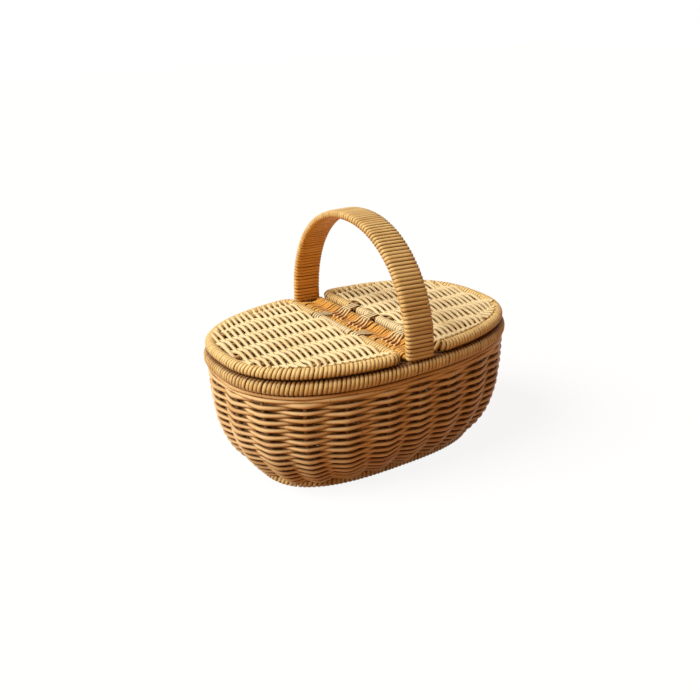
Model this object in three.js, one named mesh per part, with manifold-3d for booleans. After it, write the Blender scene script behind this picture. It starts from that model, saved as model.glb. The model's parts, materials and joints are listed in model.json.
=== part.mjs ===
// Oval picnic basket in round cane: woven body, two hinged half lids and a strap handle.
// Millimetres, +Z up, +X along the basket, +Y across it, origin at the foot's centre.
import * as THREE from "three";
import { mergeVertices } from "three/addons/utils/BufferGeometryUtils.js";
import Module from "manifold-3d";

const wasm = await Module();
wasm.setup();

// Overall sizes, measured over the windings
const LENGTH = 230;
const WIDTH = 160;
const LID_TOP = 100;
const HANDLE_TOP = 181;
const FOOT_LENGTH = 176;
const FOOT_WIDTH = 107;

// Shape of the oval at the rim and at the foot: how square it is along each axis
const RIM_SQUARENESS = { x: 2.35, y: 2.6 };
const FOOT_SQUARENESS = { x: 2.8, y: 2.8 };
// Wall: how quickly it swells out, and how far outside the foot's centre line it starts
const BELLY = 3.4;
const WALL_SET_OUT = 0.5;

// Canes and gaps: between pieces that touch, and round a cane inside its channel
const SEAT = 0.3;
const CHANNEL = 0.35;
const STAKE_D = 2.8;
const STAKE_COUNT = 22;
const WEAVER_D = 2.8;
const COURSE_COUNT = 30;
const WINDING = 1.2;
// Half the thickness of a woven face where its strands cross between two stakes or ribs, as a
// share of a weaver's thickness. At a stake or rib the weaver stands proud by its whole thickness.
const WEAVER_CROSSING = 0.5;

// Foot ring
const FOOT_D = 6.6;
const FOOT_HOOP_D = 3.6;
const FOOT_FLAT = 0.5;

// Body rim: two split hoops that grip the stakes and the handle's ends. The flat face of each
// is a share of its height.
const RIM_HEIGHT = 9.6;
const HOOP_THICKNESS = 1.9;
const HOOP_HEIGHT = 6.4;
const HOOP_FACE_SHARE = 0.6;
const RIM_ROUNDING = 2.2;

// Handle: a row of rods wound into a flat strap
const ROD_D = 3;
const ROD_COUNT = 6;
const HANDLE_SPRING = 98;
const HANDLE_SQUARENESS = 2.1;
const ROD_TAIL = 6;
const STRAP_ROUNDING = 1.8;

// Bridge across the middle, and the cane loops that tie the lids to it, a little looser on the
// rails than the seat gap
const BRIDGE_RAIL_D = 4;
const BRIDGE_RAIL_X = 8.6;
const BRIDGE_STRAND_D = 1.5;
const BRIDGE_WAIST = 1.7;
const LOOP_WIDTH = 10;
const LOOP_THICKNESS = 1.4;
const LOOP_EASE = 0.05;
const LOOP_PLACES = { left: [-23, 29], right: [-39, 3, 29] };

// Lids
const LID_INSET = 1.5;
const LID_GAP = 0.4;
const LID_RIM_D = 8;
const LID_HOOP_D = 4.4;
const LID_RAIL_D = 7.4;
const LID_CORNER = 8;
const LID_RIB_D = 2.8;
const LID_RIB_PITCH = 22;
const LID_RIB_COUNT = 6;
const LID_RIB_SHIFT = 3;
const LID_WEAVER_D = 2.3;
const LID_WEAVER_COUNT = 37;
const LID_RAIL_TO_BRIDGE = 0.8;
// Rise of a lid's panel in the middle, and how steeply it starts at the edge
const LID_CROWN = 1.9;
const LID_CROWN_STEEPNESS = 0.4;
// Half angle of the slot through which the ribs come into a lid's winding
const LID_WINDING_MOUTH = 0.6;

// Floor
const FLOOR_RIB_D = 2.2;
const FLOOR_RIB_PITCH = 18;
const FLOOR_RIB_COUNT = 5;
const FLOOR_WEAVER_D = 1.5;
const FLOOR_CLEARANCE = 0.7;

// Steps of the curves, and how far a woven face may be flattened to save facets
const FLATTENING = 0.08;
const RIM_STEPS = 44;
const FOOT_STEPS = 28;
const CANE_SIDES = 5;
const HOOP_SIDES = 6;
const WALL_COLUMNS_PER_STAKE = 2;
const WALL_ROWS = 4;
const WALL_ROW_CROWDING = 1.25;
const ARCH_STEPS = 17;
const LID_CURVE_STEPS = 20;

// Sizes that follow from the ones above
const RIM_CORE = ROD_D + 2 * SEAT + 2 * HOOP_THICKNESS;
const RIM_THICKNESS = RIM_CORE + 2 * SEAT + 2 * WINDING;
const RIM_TOP = LID_TOP - LID_RIM_D - LID_GAP;
const RIM_BOTTOM = RIM_TOP - RIM_HEIGHT;
const RIM_Z = RIM_TOP - RIM_HEIGHT / 2;
const RIM_A = (LENGTH - RIM_THICKNESS) / 2;
const RIM_B = (WIDTH - RIM_THICKNESS) / 2;
const FOOT_A = (FOOT_LENGTH - FOOT_D) / 2;
const FOOT_B = (FOOT_WIDTH - FOOT_D) / 2;
const FOOT_Z = FOOT_D / 2 - FOOT_FLAT;
const WALL_BOTTOM = FOOT_Z + FOOT_D / 2 + SEAT;
const WALL_TOP = RIM_BOTTOM - SEAT;
const WALL_HALF_AT_STAKE = STAKE_D / 2 + WEAVER_D;
const WALL_HALF_BETWEEN = WEAVER_CROSSING * WEAVER_D;
const WALL_HALF_UNDER = STAKE_D / 2 + CHANNEL + 2 * SEAT;
const STRAP_WIDTH = ROD_COUNT * (ROD_D + SEAT) - SEAT + 2 * (SEAT + WINDING);
const STRAP_THICKNESS = ROD_D + 2 * (SEAT + WINDING);
const BRIDGE_RAIL_Z = RIM_TOP + SEAT + BRIDGE_RAIL_D / 2;
const BRIDGE_HALF = BRIDGE_RAIL_X + BRIDGE_RAIL_D / 2 + BRIDGE_STRAND_D;
const HINGE_X = BRIDGE_HALF + LID_RAIL_TO_BRIDGE + LID_RAIL_D / 2;
const HINGE_Z = LID_TOP - LID_RIM_D / 2;
const LID_A = LENGTH / 2 - LID_INSET - LID_RIM_D / 2;
const LID_B = WIDTH / 2 - LID_INSET - LID_RIM_D / 2;
const FLOOR_HALF = FLOOR_RIB_D / 2 + FLOOR_WEAVER_D;
const FLOOR_Z = FLOOR_CLEARANCE + FLOOR_HALF;

// Finishes
const CANE = {
  pale: { color: 0xdcb678, roughness: 0.5, metalness: 0 },
  honey: { color: 0xc48f48, roughness: 0.5, metalness: 0 },
  wound: { color: 0xb98043, roughness: 0.45, metalness: 0 },
  bridge: { color: 0xcf8d3a, roughness: 0.5, metalness: 0 },
  core: { color: 0xd2ab70, roughness: 0.7, metalness: 0 },
};

// A level oval whose points satisfy |x/a|^nx + |y/b|^ny = 1, run anticlockwise from the front
class Oval extends THREE.Curve {
  constructor(a, b, squareness, z, start = -Math.PI / 2, sweep = 2 * Math.PI) {
    super();
    Object.assign(this, { a, b, squareness, z, start, sweep });
    this.arcLengthDivisions = 1200;
  }

  getPoint(t) {
    const angle = this.start + this.sweep * t;
    const c = Math.cos(angle);
    const s = Math.sin(angle);
    const x = this.a * Math.sign(c) * Math.abs(c) ** (2 / this.squareness.x);
    const y = this.b * Math.sign(s) * Math.abs(s) ** (2 / this.squareness.y);
    return new THREE.Vector3(x, y, this.z);
  }
}

// Half the length of the chord that an oval has at a distance from its middle
const chordX = (a, b, squareness, y) =>
  a * (1 - Math.abs(y / b) ** squareness.y) ** (1 / squareness.x);
const chordY = (a, b, squareness, x) =>
  b * (1 - Math.abs(x / a) ** squareness.x) ** (1 / squareness.y);

const UP = new THREE.Vector3(0, 0, 1);

// Frames along a closed level curve: the point, the outward direction and up
function ringFrames(curve, steps) {
  return Array.from({ length: steps }, (_, k) => {
    const u = k / steps;
    const tangent = curve.getTangentAt(u);
    return { p: curve.getPointAt(u), n: new THREE.Vector3(tangent.y, -tangent.x, 0), b: UP };
  });
}

// Frames along a run of level points, with the outward direction on the left of the run
function levelFrames(points, closed) {
  return points.map((p, k) => {
    const before = points[closed ? (k + points.length - 1) % points.length : Math.max(k - 1, 0)];
    const after = points[closed ? (k + 1) % points.length : Math.min(k + 1, points.length - 1)];
    const t = after.clone().sub(before).normalize();
    return { p, n: new THREE.Vector3(-t.y, t.x, 0), b: UP };
  });
}

// Closed surface through loops of points, with a cap on each end unless the run is closed.
// The faces are turned outwards by the sign of the enclosed volume.
function loft(loops, closed, capFaces = []) {
  const size = loops[0].length;
  const runs = closed ? loops.length : loops.length - 1;
  const faces = [];
  for (let i = 0; i < runs; i++) {
    const here = i * size;
    const next = ((i + 1) % loops.length) * size;
    for (let j = 0; j < size; j++) {
      const k = (j + 1) % size;
      faces.push([here + j, here + k, next + k], [here + j, next + k, next + j]);
    }
  }
  const last = (loops.length - 1) * size;
  for (const [a, b, c] of capFaces) {
    faces.push([c, b, a], [last + a, last + b, last + c]);
  }
  const points = loops.flat();
  const volume = faces.reduce((sum, f) => {
    const [a, b, c] = f.map((i) => points[i]);
    return sum + a.dot(b.clone().cross(c));
  }, 0);
  const geometry = new THREE.BufferGeometry().setFromPoints(points);
  geometry.setIndex(faces.flatMap((f) => (volume < 0 ? f.toReversed() : f)));
  return geometry;
}

// A section carried along frames: section x along each frame's n, section y along its b
function sweep(frames, section, closed = false) {
  const loops = frames.map(({ p, n, b }) =>
    section.map((s) => p.clone().addScaledVector(n, s.x).addScaledVector(b, s.y)),
  );
  const outline = THREE.ShapeUtils.isClockWise(section) ? section.toReversed() : section;
  if (closed) return loft(loops, true);
  const caps = THREE.ShapeUtils.triangulateShape(outline, []);
  const turned = outline === section ? caps : caps.map((f) => f.map((i) => section.length - 1 - i));
  return loft(loops, false, turned);
}

const at = (radius, angle) =>
  new THREE.Vector2(radius * Math.cos(angle), radius * Math.sin(angle));
const angles = (from, to, steps) =>
  Array.from({ length: steps + 1 }, (_, k) => from + ((to - from) * k) / steps);

// Round cane section, with a corner on the first axis
const roundSection = (diameter, x = 0, y = 0, sides = CANE_SIDES) =>
  angles(0, 2 * Math.PI, sides)
    .slice(0, sides)
    .map((angle) => at(diameter / 2, angle).add(new THREE.Vector2(x, y)));

const squareSection = (side) =>
  angles(0.25 * Math.PI, 1.75 * Math.PI, 3).map((angle) => at(side * Math.SQRT1_2, angle));

// Winding section: a band of even thickness from one angle round to another
function windingSection(outerRadius, thickness, from, to, steps) {
  const run = angles(from, to, steps);
  return [
    ...run.map((angle) => at(outerRadius, angle)),
    ...run.toReversed().map((angle) => at(outerRadius - thickness, angle)),
  ];
}

// Rectangle with its corners cut off
function chamferedSection(halfX, halfY, cut) {
  const corner = (sx, sy) => {
    const a = new THREE.Vector2(sx * halfX, sy * (halfY - cut));
    const b = new THREE.Vector2(sx * (halfX - cut), sy * halfY);
    return sx === sy ? [a, b] : [b, a];
  };
  return [corner(1, -1), corner(1, 1), corner(-1, 1), corner(-1, -1)].flat();
}

// Solids for cutting and joining
function solid(geometry) {
  const bare = geometry.index ? geometry.toNonIndexed() : geometry.clone();
  bare.deleteAttribute("normal");
  bare.deleteAttribute("uv");
  const merged = mergeVertices(bare, 1e-4);
  return new wasm.Manifold(
    new wasm.Mesh({
      numProp: 3,
      vertProperties: new Float32Array(merged.attributes.position.array),
      triVerts: new Uint32Array(merged.index.array),
    }),
  );
}

function geometryOf(manifold) {
  const mesh = manifold.getMesh();
  const geometry = new THREE.BufferGeometry();
  geometry.setAttribute("position", new THREE.BufferAttribute(mesh.vertProperties, 3));
  geometry.setIndex(new THREE.BufferAttribute(mesh.triVerts, 1));
  return geometry;
}

const without = (body, tools) =>
  tools.reduce((rest, tool) => rest.subtract(solid(tool)), solid(body));
const cut = (body, ...tools) => geometryOf(without(body, tools));
const join = (body, ...others) =>
  geometryOf(others.reduce((all, other) => all.add(solid(other)), solid(body)));

function piece(name, geometry, cane) {
  geometry.computeVertexNormals();
  const mesh = new THREE.Mesh(geometry, new THREE.MeshStandardMaterial(cane));
  mesh.name = name;
  return mesh;
}

// Wall: the oval at a share of the wall's height, on the stakes' centrelines
function wallRing(v) {
  const swell = 1 - (1 - v) ** BELLY;
  const mix = (low, high) => low + (high - low) * swell;
  const squareness = {
    x: mix(FOOT_SQUARENESS.x, RIM_SQUARENESS.x),
    y: mix(FOOT_SQUARENESS.y, RIM_SQUARENESS.y),
  };
  const z = WALL_BOTTOM + (WALL_TOP - WALL_BOTTOM) * v;
  const a = mix(FOOT_A + WALL_SET_OUT, RIM_A);
  const b = mix(FOOT_B + WALL_SET_OUT, RIM_B);
  return new Oval(a, b, squareness, z);
}

// The stakes' bends crowd together where the wall bends most
const wallLevels = angles(0, 1, WALL_ROWS).map((v) => v ** WALL_ROW_CROWDING);
const wallRings = wallLevels.map(wallRing);

// Levels of the courses' centres, at even steps of length up the wall
function courseLevels() {
  const fine = angles(0, 1, 60);
  const profile = fine.map((v) => wallRing(v).getPointAt(1 / 8));
  const gone = [0];
  for (let k = 1; k < profile.length; k++) {
    gone.push(gone[k - 1] + profile[k].distanceTo(profile[k - 1]));
  }
  return Array.from({ length: COURSE_COUNT }, (_, row) => {
    const here = ((row + 0.5) / COURSE_COUNT) * gone.at(-1);
    const k = gone.findIndex((length) => length > here);
    const part = (here - gone[k - 1]) / (gone[k] - gone[k - 1]);
    return fine[k - 1] + part * (fine[k] - fine[k - 1]);
  });
}

// Direction out of the wall, square to its surface
function wallNormal(u, v) {
  const low = wallRing(Math.max(v - 0.01, 0)).getPointAt(u);
  const high = wallRing(Math.min(v + 0.01, 1)).getPointAt(u);
  const along = wallRing(v).getTangentAt(u);
  return along.cross(high.sub(low)).normalize();
}

// A column of points on one face of the wall. The edge points stand out level, because the
// wall's edges lie level on the foot and under the rim.
function wallColumn(u, levels, halves) {
  return levels.map((v, j) => {
    const out = wallNormal(u, v);
    if (v === 0 || v === 1) out.setZ(0).normalize();
    return wallRing(v).getPointAt(u).addScaledVector(out, halves[j]);
  });
}

// Woven wall. On its outer face each course stands proud of one stake and goes behind the next,
// and neighbouring courses take opposite stakes. Between stakes all courses cross.
function wallWeave() {
  const columns = STAKE_COUNT * WALL_COLUMNS_PER_STAKE;
  const edge = (WALL_HALF_AT_STAKE + WALL_HALF_UNDER) / 2;
  const levels = [0, ...courseLevels(), 1];
  const loops = Array.from({ length: columns }, (_, k) => {
    const u = k / columns;
    const atStake = k % WALL_COLUMNS_PER_STAKE === 0;
    const stakeNumber = k / WALL_COLUMNS_PER_STAKE;
    const reach = levels.map((v, j) => {
      if (!atStake) return WALL_HALF_BETWEEN;
      if (v === 0 || v === 1) return edge;
      return (j - 1 + stakeNumber) % 2 === 0 ? WALL_HALF_AT_STAKE : WALL_HALF_UNDER;
    });
    const inside = atStake ? -WALL_HALF_AT_STAKE : -WALL_HALF_BETWEEN;
    const outer = wallColumn(u, levels, reach);
    const inner = wallColumn(u, wallLevels, wallLevels.map(() => inside));
    return [...outer, ...inner.toReversed()];
  });
  return geometryOf(without(loft(loops, true), channels()).simplify(FLATTENING));
}

const stakeRange = () => Array.from({ length: STAKE_COUNT }, (_, i) => i);

// A stake rises from the foot hoop through the wall and stands between the rim hoops.
// The two under the handle stop below the rods. A channel runs on past the wall's edges.
function stake(i, channel = false) {
  const u = i / STAKE_COUNT;
  const wall = wallRings.map((ring) => ring.getPointAt(u));
  const foot = new Oval(FOOT_A, FOOT_B, FOOT_SQUARENESS, FOOT_Z).getPointAt(u);
  const toFoot = foot.sub(wall[0]);
  const reach = toFoot.length() - (channel ? 0 : FOOT_HOOP_D / 2 + SEAT);
  const start = wall[0].clone().addScaledVector(toFoot.normalize(), reach);
  const underHandle = i % (STAKE_COUNT / 2) === 0;
  const top = wall[WALL_ROWS].clone();
  top.z = underHandle ? rodBottom() - SEAT : RIM_TOP - WINDING - 2 * SEAT;
  if (channel) top.z = RIM_Z;
  const points = [start, ...wall, top];
  const along = wallRings[WALL_ROWS].getTangentAt(u);
  const frames = points.map((p, k) => {
    const t = points[Math.min(k + 1, points.length - 1)].clone().sub(points[Math.max(k - 1, 0)]);
    return { p, n: along, b: along.clone().cross(t).normalize() };
  });
  return sweep(frames, channel ? squareSection(STAKE_D + 2 * CHANNEL) : roundSection(STAKE_D));
}

const channels = () => stakeRange().map((i) => stake(i, true));

// Foot ring
const footOval = () => new Oval(FOOT_A, FOOT_B, FOOT_SQUARENESS, FOOT_Z);

function baseFrame() {
  const section = roundSection(FOOT_HOOP_D, 0, 0, HOOP_SIDES);
  const hoop = sweep(ringFrames(footOval(), FOOT_STEPS), section, true);
  const ribs = floorRibs().map((y) =>
    bar(-floorRibReach(y), floorRibReach(y), y, FLOOR_Z, FLOOR_RIB_D),
  );
  return join(hoop, ...ribs);
}

// A straight round cane along X
function bar(x0, x1, y, z, diameter) {
  const frames = [x0, x1].map((x) => ({
    p: new THREE.Vector3(x, y, z),
    n: new THREE.Vector3(0, 1, 0),
    b: UP,
  }));
  return sweep(frames, roundSection(diameter));
}

const spread = (count, pitch) =>
  Array.from({ length: count }, (_, i) => (i - (count - 1) / 2) * pitch);
const floorRibs = () => spread(FLOOR_RIB_COUNT, FLOOR_RIB_PITCH);
const floorRibReach = (y) => chordX(FOOT_A, FOOT_B, FOOT_SQUARENESS, y);
const lidRibs = () => spread(LID_RIB_COUNT, LID_RIB_PITCH).map((y) => y + LID_RIB_SHIFT);

// The foot's winding goes all round the hoop, with a hole for each stake and rib end.
// It is flat below, where the basket stands.
function footWrap() {
  const r = FOOT_D / 2;
  const flat = Math.acos((r - FOOT_FLAT) / r);
  const down = -Math.PI / 2;
  const outer = angles(down + flat, down - flat + 2 * Math.PI, 6).map((angle) => at(r, angle));
  const inner = roundSection(FOOT_HOOP_D + 2 * SEAT, 0, 0, HOOP_SIDES);
  const frames = ringFrames(footOval(), FOOT_STEPS);
  const ribHoles = floorRibs().map((y) => {
    const reach = floorRibReach(y) + CHANNEL;
    return bar(-reach, reach, y, FLOOR_Z, FLOOR_RIB_D + 2 * CHANNEL);
  });
  return cut(sweep(frames, outer, true), sweep(frames, inner, true), ...channels(), ...ribHoles);
}

// A woven panel: weavers across, over and under ribs that run along X, trimmed to an outline.
// It swells at each rib, and each rib has its channel. The upper face of a panel that shows its
// weavers goes over a rib with one and under it with the next, and rises by a crown.
function wovenPanel({ outline, ribs, ribD, weaverD, z, weavers = 0, crown = () => 0 }) {
  const over = ribD / 2 + weaverD;
  const under = ribD / 2 + CHANNEL + 2 * SEAT;
  const between = WEAVER_CROSSING * weaverD;
  const minX = Math.min(...outline.map((p) => p.x)) - 1;
  const maxX = Math.max(...outline.map((p) => p.x)) + 1;
  const centres = Array.from({ length: weavers }, (_, row) =>
    minX + ((row + 0.5) / weavers) * (maxX - minX),
  );
  const stations = [minX, ...centres, maxX];
  const step = (ribs[1] - ribs[0]) / 2;
  const loops = angles(-2, 2 * ribs.length, 2 * ribs.length + 2).map((k) => {
    const y = ribs[0] + k * step;
    const atRib = k % 2 === 0 && ribs[k / 2] !== undefined;
    const top = stations.map((x, row) => {
      const lifted = weavers === 0 || (row + k / 2) % 2 === 0 ? over : under;
      return new THREE.Vector3(x, y, crown(x, y) + (atRib ? lifted : between));
    });
    const low = atRib ? -over : -between;
    return [...top.toReversed(), new THREE.Vector3(minX, y, low), new THREE.Vector3(maxX, y, low)];
  });
  const flat = loops[0].map((p) => new THREE.Vector2(p.x, p.z));
  const slab = loft(loops, false, THREE.ShapeUtils.triangulateShape(flat, []));
  const channelD = ribD + 2 * CHANNEL;
  const ribChannels = ribs.map((y) => bar(minX - 1, maxX + 1, y, 0, channelD));
  const depth = 4 * over;
  const trim = new THREE.ExtrudeGeometry(new THREE.Shape(outline), { depth, bevelEnabled: false });
  trim.translate(0, 0, -depth / 2);
  const panel = without(slab, ribChannels).intersect(solid(trim));
  return geometryOf(panel.simplify(FLATTENING)).translate(0, 0, z);
}

const moved = (frames, inward) =>
  frames.map(({ p, n }) => new THREE.Vector2(p.x - n.x * inward, p.y - n.y * inward));

function baseWeave() {
  return wovenPanel({
    outline: moved(ringFrames(footOval(), FOOT_STEPS), FOOT_D / 2 + SEAT),
    ribs: floorRibs(),
    ribD: FLOOR_RIB_D,
    weaverD: FLOOR_WEAVER_D,
    z: FLOOR_Z,
  });
}

// Body rim
const rimFrames = () =>
  ringFrames(new Oval(RIM_A, RIM_B, RIM_SQUARENESS, RIM_Z), RIM_STEPS);

// Split-cane hoop, wide side towards the stakes: side is 1 outside them and -1 inside
function rimHoop(side) {
  const near = ROD_D / 2 + SEAT;
  const far = near + HOOP_THICKNESS;
  const half = HOOP_HEIGHT / 2;
  const section = [
    new THREE.Vector2(side * near, -half),
    new THREE.Vector2(side * far, -HOOP_FACE_SHARE * half),
    new THREE.Vector2(side * far, HOOP_FACE_SHARE * half),
    new THREE.Vector2(side * near, half),
  ];
  return sweep(rimFrames(), section, true);
}

// The rim's winding is open below for the stakes, and cut above where the handle's rods pass
function rimWrap() {
  const halfX = RIM_THICKNESS / 2;
  const halfZ = RIM_HEIGHT / 2;
  const corner = RIM_ROUNDING;
  const mouth = STAKE_D / 2 + SEAT;
  const outer = [
    [mouth, -halfZ],
    [halfX - corner, -halfZ],
    [halfX, corner - halfZ],
    [halfX, halfZ - corner],
    [halfX - corner, halfZ],
  ];
  const inner = [
    [halfX - WINDING, halfZ - WINDING],
    [halfX - WINDING, WINDING - halfZ],
    [mouth, WINDING - halfZ],
  ];
  const section = [
    ...outer,
    ...outer.toReversed().map(([x, z]) => [-x, z]),
    ...inner.toReversed().map(([x, z]) => [-x, z]),
    ...inner,
  ].map(([x, z]) => new THREE.Vector2(x, z));
  const slots = [-1, 1].map((side) => {
    const slot = new THREE.BoxGeometry(rodRow() + 2 * SEAT, ROD_D + 2 * SEAT, RIM_HEIGHT / 2 + 1);
    return slot.translate(0, side * RIM_B, RIM_Z + RIM_HEIGHT / 4 + 0.5);
  });
  return cut(sweep(rimFrames(), section, true), ...slots);
}

// Handle
const rodRow = () => ROD_COUNT * (ROD_D + SEAT) - SEAT;
const rodBottom = () => RIM_TOP - ROD_TAIL;

// The arch from the front leg over to the back leg: straight legs under a superellipse
function archFrames(bottom) {
  const rise = HANDLE_TOP - STRAP_THICKNESS / 2 - HANDLE_SPRING;
  const power = 2 / HANDLE_SQUARENESS;
  const crown = angles(Math.PI, 0, ARCH_STEPS).map((angle) => {
    const c = Math.cos(angle);
    const y = RIM_B * Math.sign(c) * Math.abs(c) ** power;
    return new THREE.Vector3(0, y, HANDLE_SPRING + rise * Math.sin(angle) ** power);
  });
  const points = [
    new THREE.Vector3(0, -RIM_B, bottom),
    ...crown,
    new THREE.Vector3(0, RIM_B, bottom),
  ];
  return points.map((p, k) => {
    const before = points[Math.max(k - 1, 0)];
    const after = points[Math.min(k + 1, points.length - 1)];
    const t = after.clone().sub(before).normalize();
    return { p, n: new THREE.Vector3(0, -t.z, t.y), b: new THREE.Vector3(1, 0, 0) };
  });
}

const handleRod = (i) =>
  sweep(archFrames(rodBottom()), roundSection(ROD_D, 0, spread(ROD_COUNT, ROD_D + SEAT)[i]));

function handleWrap() {
  const bottom = RIM_TOP + SEAT;
  const outer = chamferedSection(STRAP_THICKNESS / 2, STRAP_WIDTH / 2, STRAP_ROUNDING);
  const innerX = ROD_D / 2 + SEAT;
  const innerY = rodRow() / 2 + SEAT;
  const inner = [[-1, -1], [1, -1], [1, 1], [-1, 1]].map(
    ([x, y]) => new THREE.Vector2(x * innerX, y * innerY),
  );
  const core = archFrames(bottom);
  // The core runs on past both feet, so that the sleeve is open there
  core[0] = { ...core[0], p: core[0].p.clone().setZ(bottom - 1) };
  core[core.length - 1] = { ...core.at(-1), p: core.at(-1).p.clone().setZ(bottom - 1) };
  return cut(sweep(archFrames(bottom), outer), sweep(core, inner));
}

const SIDES = [
  { name: "left", side: -1 },
  { name: "right", side: 1 },
];

// Bridge: two rails rest on the rim between the handle's feet, with strands across them
const bridgeRailEnd = () => RIM_B - STRAP_THICKNESS / 2 - SEAT;

function bridgeRail(side) {
  const frames = [-1, 1].map((end) => ({
    p: new THREE.Vector3(side * BRIDGE_RAIL_X, end * bridgeRailEnd(), BRIDGE_RAIL_Z),
    n: new THREE.Vector3(1, 0, 0),
    b: UP,
  }));
  return sweep(frames, roundSection(BRIDGE_RAIL_D, 0, 0, HOOP_SIDES));
}

function alongY(shape, length, y) {
  const options = { depth: length, bevelEnabled: false, curveSegments: 4 };
  const geometry = new THREE.ExtrudeGeometry(shape, options);
  return geometry.rotateX(Math.PI / 2).translate(0, y + length / 2, 0);
}

function bridgeWeave() {
  const r = BRIDGE_RAIL_D / 2 + BRIDGE_STRAND_D;
  const waist = BRIDGE_WAIST;
  const x = BRIDGE_RAIL_X;
  const profile = new THREE.Shape();
  profile.absarc(x, BRIDGE_RAIL_Z, r, -Math.PI / 2, Math.PI / 2, false);
  profile.lineTo(x / 2, BRIDGE_RAIL_Z + waist);
  profile.lineTo(-x / 2, BRIDGE_RAIL_Z + waist);
  profile.absarc(-x, BRIDGE_RAIL_Z, r, Math.PI / 2, (3 * Math.PI) / 2, false);
  profile.lineTo(-x / 2, BRIDGE_RAIL_Z - waist);
  profile.lineTo(x / 2, BRIDGE_RAIL_Z - waist);
  for (const side of [-1, 1]) {
    const hole = roundSection(BRIDGE_RAIL_D + 2 * CHANNEL, side * x, BRIDGE_RAIL_Z, HOOP_SIDES);
    profile.holes.push(new THREE.Path(hole));
  }
  const length = 2 * (RIM_B - RIM_THICKNESS / 2 - SEAT);
  const notches = SIDES.flatMap(({ name, side }) =>
    LOOP_PLACES[name].map((y) =>
      alongY(loopShape(side, LOOP_THICKNESS + SEAT), LOOP_WIDTH + 2 * SEAT, y),
    ),
  );
  return cut(alongY(profile, length, 0), ...notches);
}

// Hinge loop: a band pulled round the bridge's rail and, loosely, the lid's rail
function loopShape(side, thickness) {
  const rail = { x: side * BRIDGE_RAIL_X, z: BRIDGE_RAIL_Z, r: BRIDGE_RAIL_D / 2 + SEAT };
  const hinge = { x: side * HINGE_X, z: HINGE_Z, r: LID_HOOP_D / 2 + SEAT };
  const apart = Math.hypot(hinge.x - rail.x, hinge.z - rail.z);
  const towards = Math.atan2(hinge.z - rail.z, hinge.x - rail.x);
  const lean = Math.acos((rail.r - hinge.r) / apart);
  const belt = (grow) => {
    const path = new THREE.Path();
    path.absarc(hinge.x, hinge.z, hinge.r + grow, towards - lean, towards + lean, false);
    path.absarc(rail.x, rail.z, rail.r + grow, towards + lean, towards - lean + 2 * Math.PI, false);
    return path;
  };
  return new THREE.Shape(belt(thickness).getPoints(3));
}

function hingeLoop(side, y) {
  const shape = loopShape(side, LOOP_THICKNESS);
  shape.holes.push(new THREE.Path(loopShape(side, LOOP_EASE).getPoints()));
  return alongY(shape, LOOP_WIDTH, y);
}

// Lids, made for the right-hand side about their own hinge axis, with X away from the hinge
const lidOvalStart = () =>
  Math.acos(((HINGE_X + LID_CORNER) / LID_A) ** (RIM_SQUARENESS.x / 2));

// The lid's edge from the hinge rail's far end round to its near end
function lidCurve() {
  const start = lidOvalStart();
  const oval = new Oval(LID_A, LID_B, RIM_SQUARENESS, 0, start, -2 * start);
  const edge = oval.getSpacedPoints(LID_CURVE_STEPS).map((p) => p.setX(p.x - HINGE_X));
  const cornerY = chordY(LID_A, LID_B, RIM_SQUARENESS, HINGE_X);
  const corner = (end) =>
    new THREE.QuadraticBezierCurve3(
      new THREE.Vector3(0, end * (cornerY - LID_CORNER), 0),
      new THREE.Vector3(0, end * cornerY, 0),
      edge[end > 0 ? 0 : LID_CURVE_STEPS],
    ).getPoints(3);
  return [...corner(1).slice(0, 3), ...edge, ...corner(-1).slice(0, 3).toReversed()];
}

function lidFrame() {
  const section = roundSection(LID_HOOP_D);
  const hoop = sweep(levelFrames(lidCurve(), true), section, true);
  const ribs = lidRibs().map((y) =>
    bar(0, chordX(LID_A, LID_B, RIM_SQUARENESS, y) - HINGE_X, y, 0, LID_RIB_D),
  );
  return join(hoop, ...ribs);
}

// Rise of the panel's upper face: a low dome that starts at the lid's edge
function lidCrown(x, y) {
  const middle = (LID_A - HINGE_X) / 2;
  const wide = chordY(LID_A, LID_B, RIM_SQUARENESS, Math.min(x + HINGE_X, LID_A - 1));
  const dome = (share) => Math.max(1 - share ** 2, 0) ** LID_CROWN_STEEPNESS;
  return LID_CROWN * dome((x - middle) / middle) * dome(y / wide);
}

function lidWeave() {
  return wovenPanel({
    outline: moved(levelFrames(lidCurve(), true), LID_RIM_D / 2 + SEAT),
    ribs: lidRibs(),
    ribD: LID_RIB_D,
    weaverD: LID_WEAVER_D,
    z: 0,
    weavers: LID_WEAVER_COUNT,
    crown: lidCrown,
  });
}

// The windings are open towards the panel, where the ribs come in
function lidWinding(points, diameter, steps) {
  const end = Math.PI - LID_WINDING_MOUTH;
  const section = windingSection(diameter / 2, WINDING, -end, end, steps);
  return sweep(levelFrames(points, false), section);
}

const railPoint = (y) => new THREE.Vector3(0, y, 0);
const loopEdge = LOOP_WIDTH / 2 + SEAT;

function lidRimWrap(places) {
  const first = railPoint(Math.min(...places) - loopEdge);
  const last = railPoint(Math.max(...places) + loopEdge);
  return lidWinding([last, ...lidCurve(), first], LID_RIM_D, 5);
}

const lidRailWrap = (from, to) =>
  lidWinding([railPoint(from + loopEdge), railPoint(to - loopEdge)], LID_RAIL_D, 6);

function lid({ name, side }) {
  const places = LOOP_PLACES[name];
  const group = new THREE.Group();
  group.add(
    piece(name + "_lid_frame", lidFrame(), CANE.core),
    piece(name + "_lid_weave", lidWeave(), CANE.pale),
    piece(name + "_lid_rim_wrap", lidRimWrap(places), CANE.wound),
  );
  for (let i = 1; i < places.length; i++) {
    const wrap = lidRailWrap(places[i - 1], places[i]);
    group.add(piece(name + "_lid_rail_wrap_" + i, wrap, CANE.pale));
  }
  group.position.set(side * HINGE_X, 0, HINGE_Z);
  group.scale.x = side;
  return group;
}

// The whole basket
const basket = new THREE.Group();

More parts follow.
